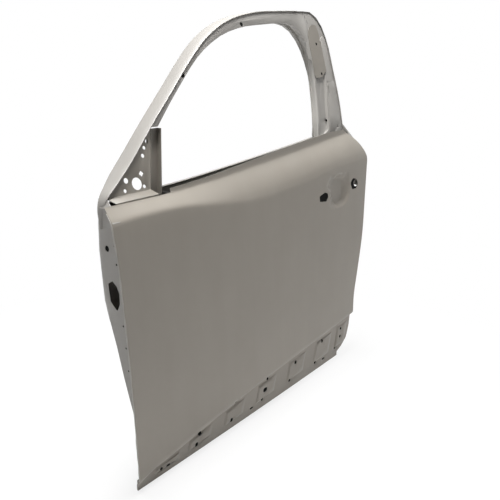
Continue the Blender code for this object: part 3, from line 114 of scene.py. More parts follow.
def link(tree: Tree, start: Socket, end: Socket) -> None:
    """Join two sockets of a node tree."""
    tree.links.new(start, end)


def noise(tree: Tree, vector: Socket, scale: float, detail: float,
          roughness: float = 0.5) -> Socket:
    """Add a noise texture that reads a vector.

    Args:
        tree: The node tree.
        vector: The socket that gives the place.
        scale: Noise scale, in cells per metre.
        detail: Octaves of the noise.
        roughness: Share that each finer octave keeps.

    Returns:
        The noise value.
    """
    node = tree.nodes.new("ShaderNodeTexNoise")
    node.inputs["Scale"].default_value = scale
    node.inputs["Detail"].default_value = detail
    node.inputs["Roughness"].default_value = roughness
    link(tree, vector, node.inputs["Vector"])
    return node.outputs["Fac"]


def spread(tree: Tree, value: Socket, low: float, high: float,
           from_low: float = 0.3, from_high: float = 0.7) -> Socket:
    """Map a value to a range.

    Args:
        tree: The node tree.
        value: The socket to map.
        low: Output at the lower input limit.
        high: Output at the upper input limit.
        from_low: Lower input limit.
        from_high: Upper input limit.

    Returns:
        The mapped value.
    """
    node = tree.nodes.new("ShaderNodeMapRange")
    node.inputs["From Min"].default_value = from_low
    node.inputs["From Max"].default_value = from_high
    node.inputs["To Min"].default_value = low
    node.inputs["To Max"].default_value = high
    link(tree, value, node.inputs["Value"])
    return node.outputs["Result"]


def combine(tree: Tree, operation: str, first: Socket, second: Socket | float) -> Socket:
    """Join two values with a Math node.

    Args:
        tree: The node tree.
        operation: What the node does with them.
        first: The first value.
        second: The second value, as a socket or a number.

    Returns:
        The result.
    """
    node = tree.nodes.new("ShaderNodeMath")
    node.operation = operation
    link(tree, first, node.inputs[0])
    if isinstance(second, float):
        node.inputs[1].default_value = second
    else:
        link(tree, second, node.inputs[1])
    return node.outputs["Value"]


def primer_coat_group() -> Tree:
    """Make the group for dipped primer: cloudy tone, runs, dust specks and orange peel.

    Returns:
        The group, with outputs Tone, Gloss and Height.
    """
    group = bpy.data.node_groups.new("primer_coat", "ShaderNodeTree")
    add_socket(group, "Vector", "NodeSocketVector", "INPUT")
    for name, value in (("Cloud", 0.05), ("Specks", 0.10), ("Peel", 0.5)):
        add_socket(group, name, "NodeSocketFloat", "INPUT", value)
    for name in ("Tone", "Gloss", "Height"):
        add_socket(group, name, "NodeSocketFloat", "OUTPUT")
    start = group.nodes.new("NodeGroupInput")
    end = group.nodes.new("NodeGroupOutput")
    vector = start.outputs["Vector"]

    wide = spread(group, noise(group, vector, CLOUD_SCALE, 3.0), -1.0, 1.0)
    runs = group.nodes.new("ShaderNodeMapping")
    runs.inputs["Scale"].default_value = RUN_STRETCH
    link(group, vector, runs.inputs["Vector"])
    streak = spread(group, noise(group, runs.outputs["Vector"], RUN_SCALE, 2.0), -0.5, 0.5)
    cloud = combine(group, "MULTIPLY", combine(group, "ADD", wide, streak), start.outputs["Cloud"])
    grit = spread(group, noise(group, vector, GRIT_SCALE, 1.0), 0.0, 1.0, *GRIT_LIMITS)
    specks = combine(group, "MULTIPLY", grit, start.outputs["Specks"])
    link(group, combine(group, "SUBTRACT", cloud, specks), end.inputs["Tone"])

    smear = noise(group, vector, SMEAR_SCALE, 4.0, 0.6)
    link(group, spread(group, smear, -GLOSS_REACH, GLOSS_REACH), end.inputs["Gloss"])

    peel = combine(group, "MULTIPLY", noise(group, vector, PEEL_SCALE, 2.0), start.outputs["Peel"])
    height = combine(group, "ADD", peel, noise(group, vector, WAVE_SCALE, 1.0))
    link(group, height, end.inputs["Height"])
    return group


def tint_group() -> Tree:
    """Make the group that mixes a shade colour and a light colour by a tone from -1 to 1.

    Returns:
        The group, with output Color.
    """
    group = bpy.data.node_groups.new("tone_tint", "ShaderNodeTree")
    add_socket(group, "Tone", "NodeSocketFloat", "INPUT", 0.0)
    add_socket(group, "Shade", "NodeSocketColor", "INPUT")
    add_socket(group, "Light", "NodeSocketColor", "INPUT")
    add_socket(group, "Color", "NodeSocketColor", "OUTPUT")
    start = group.nodes.new("NodeGroupInput")
    end = group.nodes.new("NodeGroupOutput")
    share = spread(group, start.outputs["Tone"], 0.0, 1.0, -1.0, 1.0)
    mix = group.nodes.new("ShaderNodeMix")
    mix.data_type = "RGBA"
    link(group, share, mix.inputs["Factor"])
    link(group, start.outputs["Shade"], mix.inputs[6])
    link(group, start.outputs["Light"], mix.inputs[7])
    link(group, mix.outputs[2], end.inputs["Color"])
    return group


@dataclass(frozen=True)
class Coat:
    """A finish made from the shared groups."""

    name: str
    shade: Row
    light: Row
    roughness: float
    metallic: float = 0.0
    cloud: float = 0.30
    specks: float = 0.10
    peel: float = 0.5
    bump: float = 0.03
    specular: float = 0.5

    def material(self) -> bpy.types.Material:
        """Build the finish once and give it back on later calls."""
        made = bpy.data.materials.get(self.name)
        if made:
            return made
        made = bpy.data.materials.new(self.name)
        made.use_nodes = True
        tree = made.node_tree
        shader = tree.nodes["Principled BSDF"]
        place = tree.nodes.new("ShaderNodeTexCoord")
        coat = tree.nodes.new("ShaderNodeGroup")
        coat.node_tree = bpy.data.node_groups["primer_coat"]
        for name, value in (("Cloud", self.cloud), ("Specks", self.specks), ("Peel", self.peel)):
            coat.inputs[name].default_value = value
        link(tree, place.outputs["Object"], coat.inputs["Vector"])
        tint = tree.nodes.new("ShaderNodeGroup")
        tint.node_tree = bpy.data.node_groups["tone_tint"]
        tint.inputs["Shade"].default_value = (*self.shade, 1.0)
        tint.inputs["Light"].default_value = (*self.light, 1.0)
        link(tree, coat.outputs["Tone"], tint.inputs["Tone"])
        link(tree, tint.outputs["Color"], shader.inputs["Base Color"])
        rough = combine(tree, "ADD", coat.outputs["Gloss"], self.roughness)
        link(tree, rough, shader.inputs["Roughness"])
        bump = tree.nodes.new("ShaderNodeBump")
        bump.inputs["Strength"].default_value = self.bump
        bump.inputs["Distance"].default_value = BUMP_DISTANCE
        link(tree, coat.outputs["Height"], bump.inputs["Height"])
        link(tree, bump.outputs["Normal"], shader.inputs["Normal"])
        shader.inputs["Metallic"].default_value = self.metallic
        shader.inputs["Specular IOR Level"].default_value = self.specular
        return made


PRIMER = Coat("dipped_primer", (0.241, 0.217, 0.184), (0.307, 0.280, 0.241), 0.36)
INNER_PRIMER = Coat("dipped_primer_inner", (0.247, 0.234, 0.215), (0.325, 0.311, 0.290), 0.42,
                    bump=0.01)
BRACE_PRIMER = Coat("dipped_primer_brace", (0.170, 0.160, 0.143), (0.240, 0.228, 0.208), 0.48)
ZINC_PLATE = Coat("zinc_plate", (0.45, 0.45, 0.43), (0.60, 0.60, 0.58), 0.34, metallic=0.9)
PUTTY = Coat("mastic_putty", (0.022, 0.022, 0.024), (0.045, 0.045, 0.048), 0.82, bump=0.4,
             peel=1.0)
SEALER = Coat("seam_sealer", (0.36, 0.345, 0.315), (0.46, 0.44, 0.41), 0.62, bump=0.25, peel=1.0)
# Darker primer on the mirror plate, the glass post and the rear pillar's channel: painted shade.
PAINTED_SHADE_PRIMER = Coat("dipped_primer_painted_shade", (0.178, 0.161, 0.136), (0.228, 0.209, 0.180), 0.44)
# Lighter primer on the glass run channel: painted light on a face that lies in the header's shade.
PAINTED_LIGHT_RUN_PRIMER = Coat("dipped_primer_run_painted_light", (0.36, 0.345, 0.32), (0.46, 0.445, 0.42), 0.42)
# Near-black sheets behind holes: painted shade for the dark space seen through them.
PAINTED_SHADE_BLACK = Coat("painted_shade_black", (0.004, 0.004, 0.004), (0.007, 0.007, 0.006), 0.85, specular=0.1)


# Helpers for pieces


def only(piece: Piece) -> None:
    """Deselect everything, then select one object and make it active."""
    bpy.ops.object.select_all(action="DESELECT")
    piece.select_set(True)
    bpy.context.view_layer.objects.active = piece


def seat_piece(piece: Piece, coat: Coat) -> None:
    """Give a piece its finish and let it ride on the door.

    Args:
        piece: A finished mesh at the origin.
        coat: Its finish.
    """
    piece.data.materials.clear()
    piece.data.materials.append(coat.material())
    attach(piece, "root")


def refined_node(name: str, node: Piece, bevel: float) -> Piece:
    """Copy a solid, merge its loose triangles and soften its cut edges.

    Args:
        name: Name of the new piece.
        node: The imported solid.
        bevel: Width of the rounding on its edges, or 0 for none.

    Returns:
        The new piece, which stands for the solid.
    """
    piece = bpy.data.objects.new(name, node.data.copy())
    bpy.context.scene.collection.objects.link(piece)
    only(piece)
    bpy.ops.object.mode_set(mode="EDIT")
    bpy.ops.mesh.select_all(action="SELECT")
    bpy.ops.mesh.remove_doubles(threshold=MERGE)
    bpy.ops.mesh.customdata_custom_splitnormals_clear()
    if bevel:
        bpy.ops.mesh.dissolve_limited(angle_limit=FLAT_ANGLE)
    bpy.ops.object.mode_set(mode="OBJECT")
    if bevel:
        rounding = piece.modifiers.new("edge_rounding", "BEVEL")
        rounding.width = bevel
        rounding.segments = 2
        rounding.limit_method = "ANGLE"
        rounding.angle_limit = EDGE_ANGLE
        bpy.ops.object.modifier_apply(modifier=rounding.name)
    bpy.ops.object.shade_smooth_by_angle(angle=SOLID_ANGLE)
    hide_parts(node.name)
    return piece


@dataclass
class BracedPressings:
    """The pieces whose solids already have their full shape."""

    nodes: dict[str, Piece]
    edge: float = 0.0003
    primed: tuple[str, ...] = ("frame_outer", "pillar_outer", "pillar_plate")
    # The glass run channel takes a lighter coat as painted light.
    run: tuple[str, ...] = ("glass_run_channel",)
    # The mirror plate and the glass post take a darker coat as painted shade.
    shaded: tuple[str, ...] = ("mirror_plate", "front_glass_post")
    stretched: tuple[tuple[str, Row, Row, Row], ...] = (
        ("glass_run_channel", (0.860, 0.0, 0.800), (0.905, 0.2, 0.8185),
         (-0.0135, -0.0130, -0.050)),
    )
    braces: tuple[str, ...] = ("rear_glass_channel", "front_post_bracket", "rear_channel_bracket",
                               "belt_reinforcement_outer", "belt_reinforcement_inner",
                               "hinge_reinforcement_upper", "hinge_reinforcement_lower",
                               "latch_reinforcement", "door_beam", "beam_bracket_front",
                               "beam_bracket_rear", "handle_reinforcement")
    nuts: tuple[str, ...] = ("hinge_nut",)
    pads: tuple[str, ...] = ("mastic_pad_1", "mastic_pad_2", "mastic_pad_3")

    def build(self) -> list[Piece]:
        """Refine and dress each pressing."""
        pieces = []
        for names, coat, slot in ((self.primed, INNER_PRIMER, Slot.STEEL),
                                  (self.run, PAINTED_LIGHT_RUN_PRIMER, Slot.STEEL),
                                  (self.shaded, PAINTED_SHADE_PRIMER, Slot.STEEL),
                                  (self.braces, BRACE_PRIMER, Slot.BRACE),
                                  (self.nuts, ZINC_PLATE, Slot.ZINC),
                                  (self.pads, PUTTY, Slot.MASTIC)):
            for name in names:
                piece = refined_node(f"{name}_finish", self.nodes[name], self.edge)
                self.stretch(name, piece)
                seat_piece(piece, coat)
                pieces.append(piece)
        return pieces

    def stretch(self, name: str, piece: Piece) -> None:
        """Move the end of a piece that stops short of its neighbour."""
        for owner, low, high, shift in self.stretched:
            if owner != name:
                continue
            for vertex in piece.data.vertices:
                spot = vertex.co - CORNER
                if all(a <= b <= c for a, b, c in zip(low, spot, high)):
                    vertex.co += Vector(shift)


# Lines that both panels follow


def follow(table: tuple[Row, ...], at: Path, scale_in: float = 1.0,
           scale_out: float = 1.0) -> Path:
    """Read a smooth line through rows of shares.

    Args:
        table: Rows of (place, value).
        at: Places to read.
        scale_in: Length that a place of 1 stands for.
        scale_out: Length that a value of 1 stands for.

    Returns:
        The values at those places.
    """
    places = np.array([row[0] for row in table]) * scale_in
    values = np.array([row[1] for row in table]) * scale_out
    slopes = np.gradient(values, places)
    held = np.clip(at, places[0], places[-1])
    span = np.clip(np.searchsorted(places, held) - 1, 0, len(places) - 2)
    width = places[span + 1] - places[span]
    t = (held - places[span]) / width
    rise = values[span + 1] - values[span]
    bend = slopes[span] * width - rise
    unbend = rise - slopes[span + 1] * width
    return values[span] + t * rise + t * (1 - t) * ((1 - t) * bend + t * unbend)


def smooth_path(points: Path, count: int) -> Path:
    """Spread points evenly along a smooth line through the given ones."""
    points = np.asarray(points, float)
    run = np.concatenate([[0], np.cumsum(np.linalg.norm(np.diff(points, axis=0), axis=1))])
    at = np.linspace(0, run[-1], count)
    return np.column_stack([follow(tuple(zip(run, column)), at) for column in points.T])


def evenly(points: Path, step: float) -> Path:
    """Spread points evenly along straight runs between the given ones."""
    run = np.concatenate([[0], np.cumsum(np.linalg.norm(np.diff(points, axis=0), axis=1))])
    at = np.linspace(0, run[-1], max(2, int(run[-1] / step)))
    return np.column_stack([np.interp(at, run, column) for column in points.T])


def beside(path: Path, distance: float) -> Path:
    """Move a path sideways, to its left for a positive distance."""
    ahead = np.diff(path, axis=0)
    ahead /= np.linalg.norm(ahead, axis=1)[:, None]
    before = np.vstack([ahead[:1], ahead])
    along = before + np.vstack([ahead, ahead[-1:]])
    along /= np.linalg.norm(along, axis=1)[:, None]
    left = np.column_stack([-along[:, 1], along[:, 0]])
    mitre = np.clip((along * before).sum(axis=1), 0.5, 1)
    return path + left * (distance / mitre)[:, None]


def oval(centre: Row, width: float, height: float, sides: int) -> Path:
    """Lay the points of an oval round a centre."""
    turn = np.arange(sides) / sides * math.tau
    return np.column_stack([centre[0] + np.cos(turn) * width / 2,
                            centre[1] + np.sin(turn) * height / 2])


def rounded(points: Path, radius: float, steps: int = 6) -> Path:
    """Lay a closed outline with an arc at each corner.

    Args:
        points: The outline's corners.
        radius: Radius of each arc.
        steps: Points on each arc.

    Returns:
        The rounded outline.
    """
    outline = []
    for index, corner in enumerate(points):
        back = points[index - 1] - corner
        on = points[(index + 1) % len(points)] - corner
        reach = min(np.linalg.norm(back), np.linalg.norm(on)) / 2
        back, on = back / np.linalg.norm(back), on / np.linalg.norm(on)
        half = math.acos(float(np.clip(back @ on, -1, 1))) / 2
        tangent = min(radius / math.tan(half), reach)
        way = (back + on) / np.linalg.norm(back + on)
        centre = corner + way * tangent / math.cos(half)
        start, end = corner + back * tangent - centre, corner + on * tangent - centre
        for share in np.linspace(0, 1, steps):
            arm = start * (1 - share) + end * share
            outline.append(centre + arm / np.linalg.norm(arm) * np.linalg.norm(start))
    return np.array(outline)


def within(points: Path, outline: Path) -> np.ndarray:
    """Tell which points lie in a closed outline."""
    found = np.zeros(len(points), bool)
    for (ax, az), (bx, bz) in zip(outline, np.roll(outline, -1, axis=0)):
        spans = (az > points[:, 1]) != (bz > points[:, 1])
        rise = bz - az if bz != az else MERGE
        crossing = ax + (points[:, 1] - az) / rise * (bx - ax)
        found ^= spans & (points[:, 0] < crossing)
    return found


def ease(t: Path) -> Path:
    """Turn a straight rise from 0 to 1 into a smooth one."""
    t = np.clip(t, 0, 1)
    return t * t * (3 - 2 * t)


def soft_floor(value: Path, width: Path) -> Path:
    """Keep a value above zero, with a rounded turn of this width."""
    return (value + np.sqrt(value * value + width * width)) / 2


def lay_sheet(surface: Surface, outline: Path, depth, holes: list[Path],
              folds: list[tuple[Path, bool]], spots: Path) -> None:
    """Lay a triangulated sheet and lift it into its form.

    Args:
        surface: The mesh that takes the faces.
        outline: Closed outline in the plane of length and height.
        depth: Function that gives the depth at a place.
        holes: Closed outlines that stay open.
        folds: Lines that stay edges, each with whether it closes.
        spots: Single points of the sheet.
    """
    points, edges = [], []
    for path, closed in [(outline, True)] + [(hole, True) for hole in holes] + folds:
        first = len(points)
        points += [Vector(point) for point in path]
        edges += [(first + i, first + i + 1) for i in range(len(path) - 1)]
        if closed:
            edges.append((len(points) - 1, first))
    points += [Vector(point) for point in spots]
    found, _, faces = delaunay_2d_cdt(points, edges, [], 0, MERGE / 2)[:3]
    flat = np.array([tuple(point) for point in found])
    faces = np.array([tuple(face) for face in faces])
    centres = flat[faces].mean(axis=1)
    keep = within(centres, outline)
    for hole in holes:
        keep &= ~within(centres, hole)
    depths = depth(flat[:, 0], flat[:, 1])
    vertices = [surface.verts.new((x, y, z)) for (x, z), y in zip(flat, depths)]
    for face in faces[keep]:
        surface.faces.new([vertices[i] for i in face])
    bare = [vertex for vertex in surface.verts if not vertex.link_faces]
    bmesh.ops.delete(surface, geom=bare, context="VERTS")


def lay_strips(surface: Surface, rings: list[Path]) -> None:
    """Lay the faces between rings of points that match one to one."""
    rows = [[surface.verts.new(tuple(point)) for point in ring] for ring in rings]
    for near, far in zip(rows, rows[1:]):
        for i in range(len(near) - 1):
            surface.faces.new((near[i], near[i + 1], far[i + 1], far[i]))


@dataclass(frozen=True)
class DoorForm:
    """The lines and depths that the outer panel follows, measured from its lower front corner."""

    length: float = 1.070
    belt_height: float = 0.712
    crown: float = 0.0062
    crown_height: float = 0.400
    bow: float = 0.012
    bow_start: float = 0.20
    shoulder_front: float = 0.033
    shoulder_rear: float = 0.058
    step: float = 0.012
    step_run: float = 0.011
    pad_rise: float = 0.0032
    pad_slope: float = 0.005
    pad_tail: float = 0.014
    pad_lean: float = 0.020
    pad_foot_share: float = 0.26
    pad_head_share: float = 0.90
    soft_crease_share: float = 0.75
    soft_crease_power: float = 1.8
    crease_turn: float = 0.007
    belt_turn: float = 0.004
    scoop_wall: float = 0.36
    scoop_slant: float = 0.40
    scoop_power: float = 2.4
    scoop_depth: float = 0.0145
    scoop_length: float = 0.121
    scoop_height: float = 0.114
    scoop_place: Row = (0.895, 0.604)
    crease: tuple[Row, ...] = (
        (0.0, 0.954), (0.09, 0.960), (0.19, 0.955), (0.30, 0.933), (0.43, 0.909), (0.56, 0.911),
        (0.68, 0.921), (0.80, 0.942), (1.0, 0.955),
    )
    cladding: tuple[Row, ...] = (
        (0.0, 0.054), (0.10, 0.073), (0.22, 0.102), (0.43, 0.143), (0.60, 0.168), (0.75, 0.188),
        (0.93, 0.212),
    )
    belt: tuple[Row, ...] = (
        (0.0, 1.0), (0.20, 1.001), (0.29, 1.008), (0.47, 1.028), (0.69, 1.056), (0.82, 1.074),
        (0.93, 1.090),
    )
    bottom: tuple[Row, ...] = ((0.0, 0.0), (0.85, 0.016))
    front_edge: tuple[Row, ...] = (
        (0.0, 0.0), (0.60, 0.0), (0.85, -0.003), (0.95, -0.0065), (1.0, -0.004),
    )
    rear_corner: tuple[Row, ...] = (
        (0.842, 0.016), (0.842, 0.036), (0.868, 0.050), (0.898, 0.082), (0.913, 0.136),
    )
    rear_edge: tuple[Row, ...] = (
        (0.913, 0.136), (0.9205, 0.20), (0.924, 0.30), (0.943, 0.42), (0.970, 0.59), (0.987, 0.80),
        (0.997, 0.92), (1.0, 0.968), (0.987, 1.011), (0.966, 1.052), (0.930, 1.092),
    )
    pads: tuple[Row, ...] = (
        (0.045, 0.130), (0.158, 0.240), (0.288, 0.368), (0.420, 0.505), (0.562, 0.648),
        (0.700, 0.790), (0.822, 0.885),
    )
    holes: tuple[Row, ...] = (
        (0.070, 0.030, 6, 6), (0.092, 0.027, 9, 4), (0.188, 0.036, 7, 7), (0.202, 0.071, 8, 8),
        (0.319, 0.044, 7, 7), (0.340, 0.112, 7, 7), (0.404, 0.034, 10, 4), (0.450, 0.044, 7, 7),
        (0.461, 0.083, 12, 9), (0.476, 0.124, 6, 6), (0.580, 0.048, 7, 7), (0.607, 0.122, 8, 8),
        (0.715, 0.053, 7, 7), (0.762, 0.044, 10, 4), (0.750, 0.144, 7, 7), (0.830, 0.062, 6, 6),
        (0.857, 0.110, 7, 7), (0.860, 0.150, 7, 7),
    )
    hole_unit: float = 0.0016
    seat_depth: float = 0.0011
    seat_reach: float = 0.0105
    seat_slope: float = 0.0022
    curl_reach: float = 0.060
    curl_run: float = 0.017
    lock_hole: tuple[Row, ...] = (
        (0.8944, 0.8680), (0.9112, 0.8862), (0.9336, 0.8764), (0.9411, 0.8539), (0.9308, 0.8343),
        (0.9047, 0.8343),
    )
    arm_hole: tuple[Row, ...] = (
        (0.7219, 0.8486), (0.7501, 0.8590), (0.7658, 0.8506), (0.7674, 0.8344), (0.7579, 0.8167),
        (0.7233, 0.8239),
    )

    def body(self, shares) -> Path:
        """Turn shares of length and belt height into places."""
        return np.array(shares, float) * (self.length, self.belt_height)

    def crease_z(self, x: Path) -> Path:
        """Height of the crease under the shoulder."""
        return follow(self.crease, x, self.length, self.belt_height)

    def cladding_z(self, x: Path) -> Path:
        """Height of the step above the cladding band."""
        return follow(self.cladding, x, self.length, self.belt_height)

    def belt_z(self, x: Path) -> Path:
        """Height of the belt line."""
        return follow(self.belt, x, self.length, self.belt_height)

    def bottom_z(self, x: Path) -> Path:
        """Height of the lower edge."""
        return follow(self.bottom, x, self.length, self.belt_height)

    def front_x(self, z: Path) -> Path:
        """Place of the front edge at a height."""
        return follow(self.front_edge, z, self.belt_height, self.length)

    def pad_corners(self, shares: Row, inset: float = 0.0) -> Path:
        """Lay a pad's four corners, moved in by an inset.

        Args:
            shares: The pad's front and rear at its foot, as shares of the length.
            inset: Distance that each side moves in.

        Returns:
            Four corners, counter-clockwise.
        """
        places = np.array(shares) * self.length
        foot = self.bottom_z(places)
        low = foot + (self.cladding_z(places) - foot) * self.pad_foot_share
        high = foot + (self.cladding_z(places) - self.step_run - foot) * self.pad_head_share
        lean = self.pad_lean * (high - low) / (self.length * self.pad_foot_share / 4)
        ring = np.array([(places[0], low[0]), (places[1], low[1]),
                         (places[1] + lean[1], high[1]), (places[0] + lean[0], high[0])])
        ahead = np.roll(ring, -1, axis=0) - ring
        ahead /= np.linalg.norm(ahead, axis=1)[:, None]
        normals = np.column_stack([-ahead[:, 1], ahead[:, 0]])
        before = np.roll(normals, 1, axis=0)
        share = 1 + (normals * before).sum(axis=1)
        return ring + (normals + before) * (inset / share)[:, None]

    def pads_at(self, x: Path, z: Path) -> Path:
        """Height of the pressed pads and of the seats round their holes."""
        rise = np.zeros(np.broadcast(x, z).shape)
        for shares in self.pads:
            ring = self.pad_corners(shares)
            ahead = np.roll(ring, -1, axis=0) - ring
            ahead /= np.linalg.norm(ahead, axis=1)[:, None]
            runs = (self.pad_slope, self.pad_tail, self.pad_slope, self.pad_slope)
            sides = [((z - cz) * ax - (x - cx) * az) / run
                     for (cx, cz), (ax, az), run in zip(ring, ahead, runs)]
            rise = np.maximum(rise, ease(np.min(sides, axis=0)) * self.pad_rise)
        for across, up, _, _ in self.holes:
            centre = self.body([(across, up)])[0]
            reach = np.maximum(np.abs(x - centre[0]), np.abs(z - centre[1]))
            rise = rise - self.seat_depth * ease((self.seat_reach - reach) / self.seat_slope)
        return rise

    def plain(self, x: Path, z: Path) -> Path:
        """Depth of the painted face without its pads and scoop."""
        x, z = np.asarray(x, float), np.asarray(z, float)
        base = self.crown * ((z - self.crown_height) / self.crown_height) ** 2
        base = base + self.bow * (np.clip(x - self.bow_start, 0, None)
                                  / (self.length - self.bow_start)) ** 2
        crease, belt = self.crease_z(x), self.belt_z(x)
        rise = (z - crease) / (belt - crease)
        rise = soft_floor(rise, self.crease_turn / (belt - crease))
        rise = np.clip(1 - soft_floor(1 - rise, self.belt_turn / (belt - crease)), 0, 1)
        soft = ease(x / (self.length * self.soft_crease_share))
        shoulder = rise * (1 - soft) + rise ** self.soft_crease_power * soft
        depth = self.shoulder_front + (self.shoulder_rear - self.shoulder_front) * x / self.length
        run = self.step_run + self.curl_run * ease(1 - x / self.curl_reach)
        step = self.step * ease((self.cladding_z(x) - z) / run)
        return base + (depth - base) * shoulder + step

    def skin(self, x: Path, z: Path) -> Path:
        """Depth of the painted face."""
        across = (x - self.scoop_place[0]) / (self.scoop_length / 2)
        up = (z - self.scoop_place[1]) / (self.scoop_height / 2)
        reach = np.power(np.abs(across) ** self.scoop_power + np.abs(up) ** self.scoop_power,
                         1 / self.scoop_power)
        wall = self.scoop_wall * (1 + self.scoop_slant * np.clip(across, -1, 1))
        scoop = self.scoop_depth * ease((1 - reach) / wall)
        return self.plain(x, z) + scoop - self.pads_at(x, z)


def from_surface(name: str, surface: Surface) -> Piece:
    """Turn a surface, measured from the panel's lower front corner, into a selected object."""
    bmesh.ops.translate(surface, verts=surface.verts, vec=CORNER)
    mesh = bpy.data.meshes.new(name)
    surface.to_mesh(mesh)
    surface.free()
    piece = bpy.data.objects.new(name, mesh)
    bpy.context.scene.collection.objects.link(piece)
    only(piece)
    return piece


def finish_sheet(piece: Piece, gauge: float, toward: Row, even: bool = True) -> None:
    """Merge a sheet, turn it the right way out, give it its gauge and smooth it.

    Args:
        piece: The sheet.
        gauge: Its thickness.
        toward: Direction that its outer face looks in on the whole.
        even: Whether the gauge is kept round its folds, which tight folds can't bear.
    """
    only(piece)
    bpy.ops.object.mode_set(mode="EDIT")
    bpy.ops.mesh.select_all(action="SELECT")
    bpy.ops.mesh.remove_doubles(threshold=MERGE)
    bpy.ops.mesh.normals_make_consistent(inside=False)
    bpy.ops.object.mode_set(mode="OBJECT")
    looks = sum(face.area * face.normal.dot(Vector(toward)) for face in piece.data.polygons)
    if looks < 0:
        piece.data.flip_normals()
    wall = piece.modifiers.new("gauge", "SOLIDIFY")
    wall.thickness = gauge
    wall.offset = -1
    wall.use_even_offset = even
    bpy.ops.object.modifier_apply(modifier=wall.name)
    bpy.ops.object.shade_smooth_by_angle(angle=SHEET_ANGLE)


def finish_mesh(name: str, surface: Surface, gauge: float, toward: Row, coat: Coat,
                even: bool = True) -> Piece:
    """Turn a laid surface into a dressed sheet on the door.

    Args:
        name: Name of the new piece.
        surface: The surface, measured from the panel's lower front corner.
        gauge: Thickness of the sheet.
        toward: Direction that its outer face looks in.
        coat: Its finish.
        even: Whether the gauge is kept round its folds.

    Returns:
        The new piece.
    """
    piece = from_surface(name, surface)
    finish_sheet(piece, gauge, toward, even)
    seat_piece(piece, coat)
    return piece


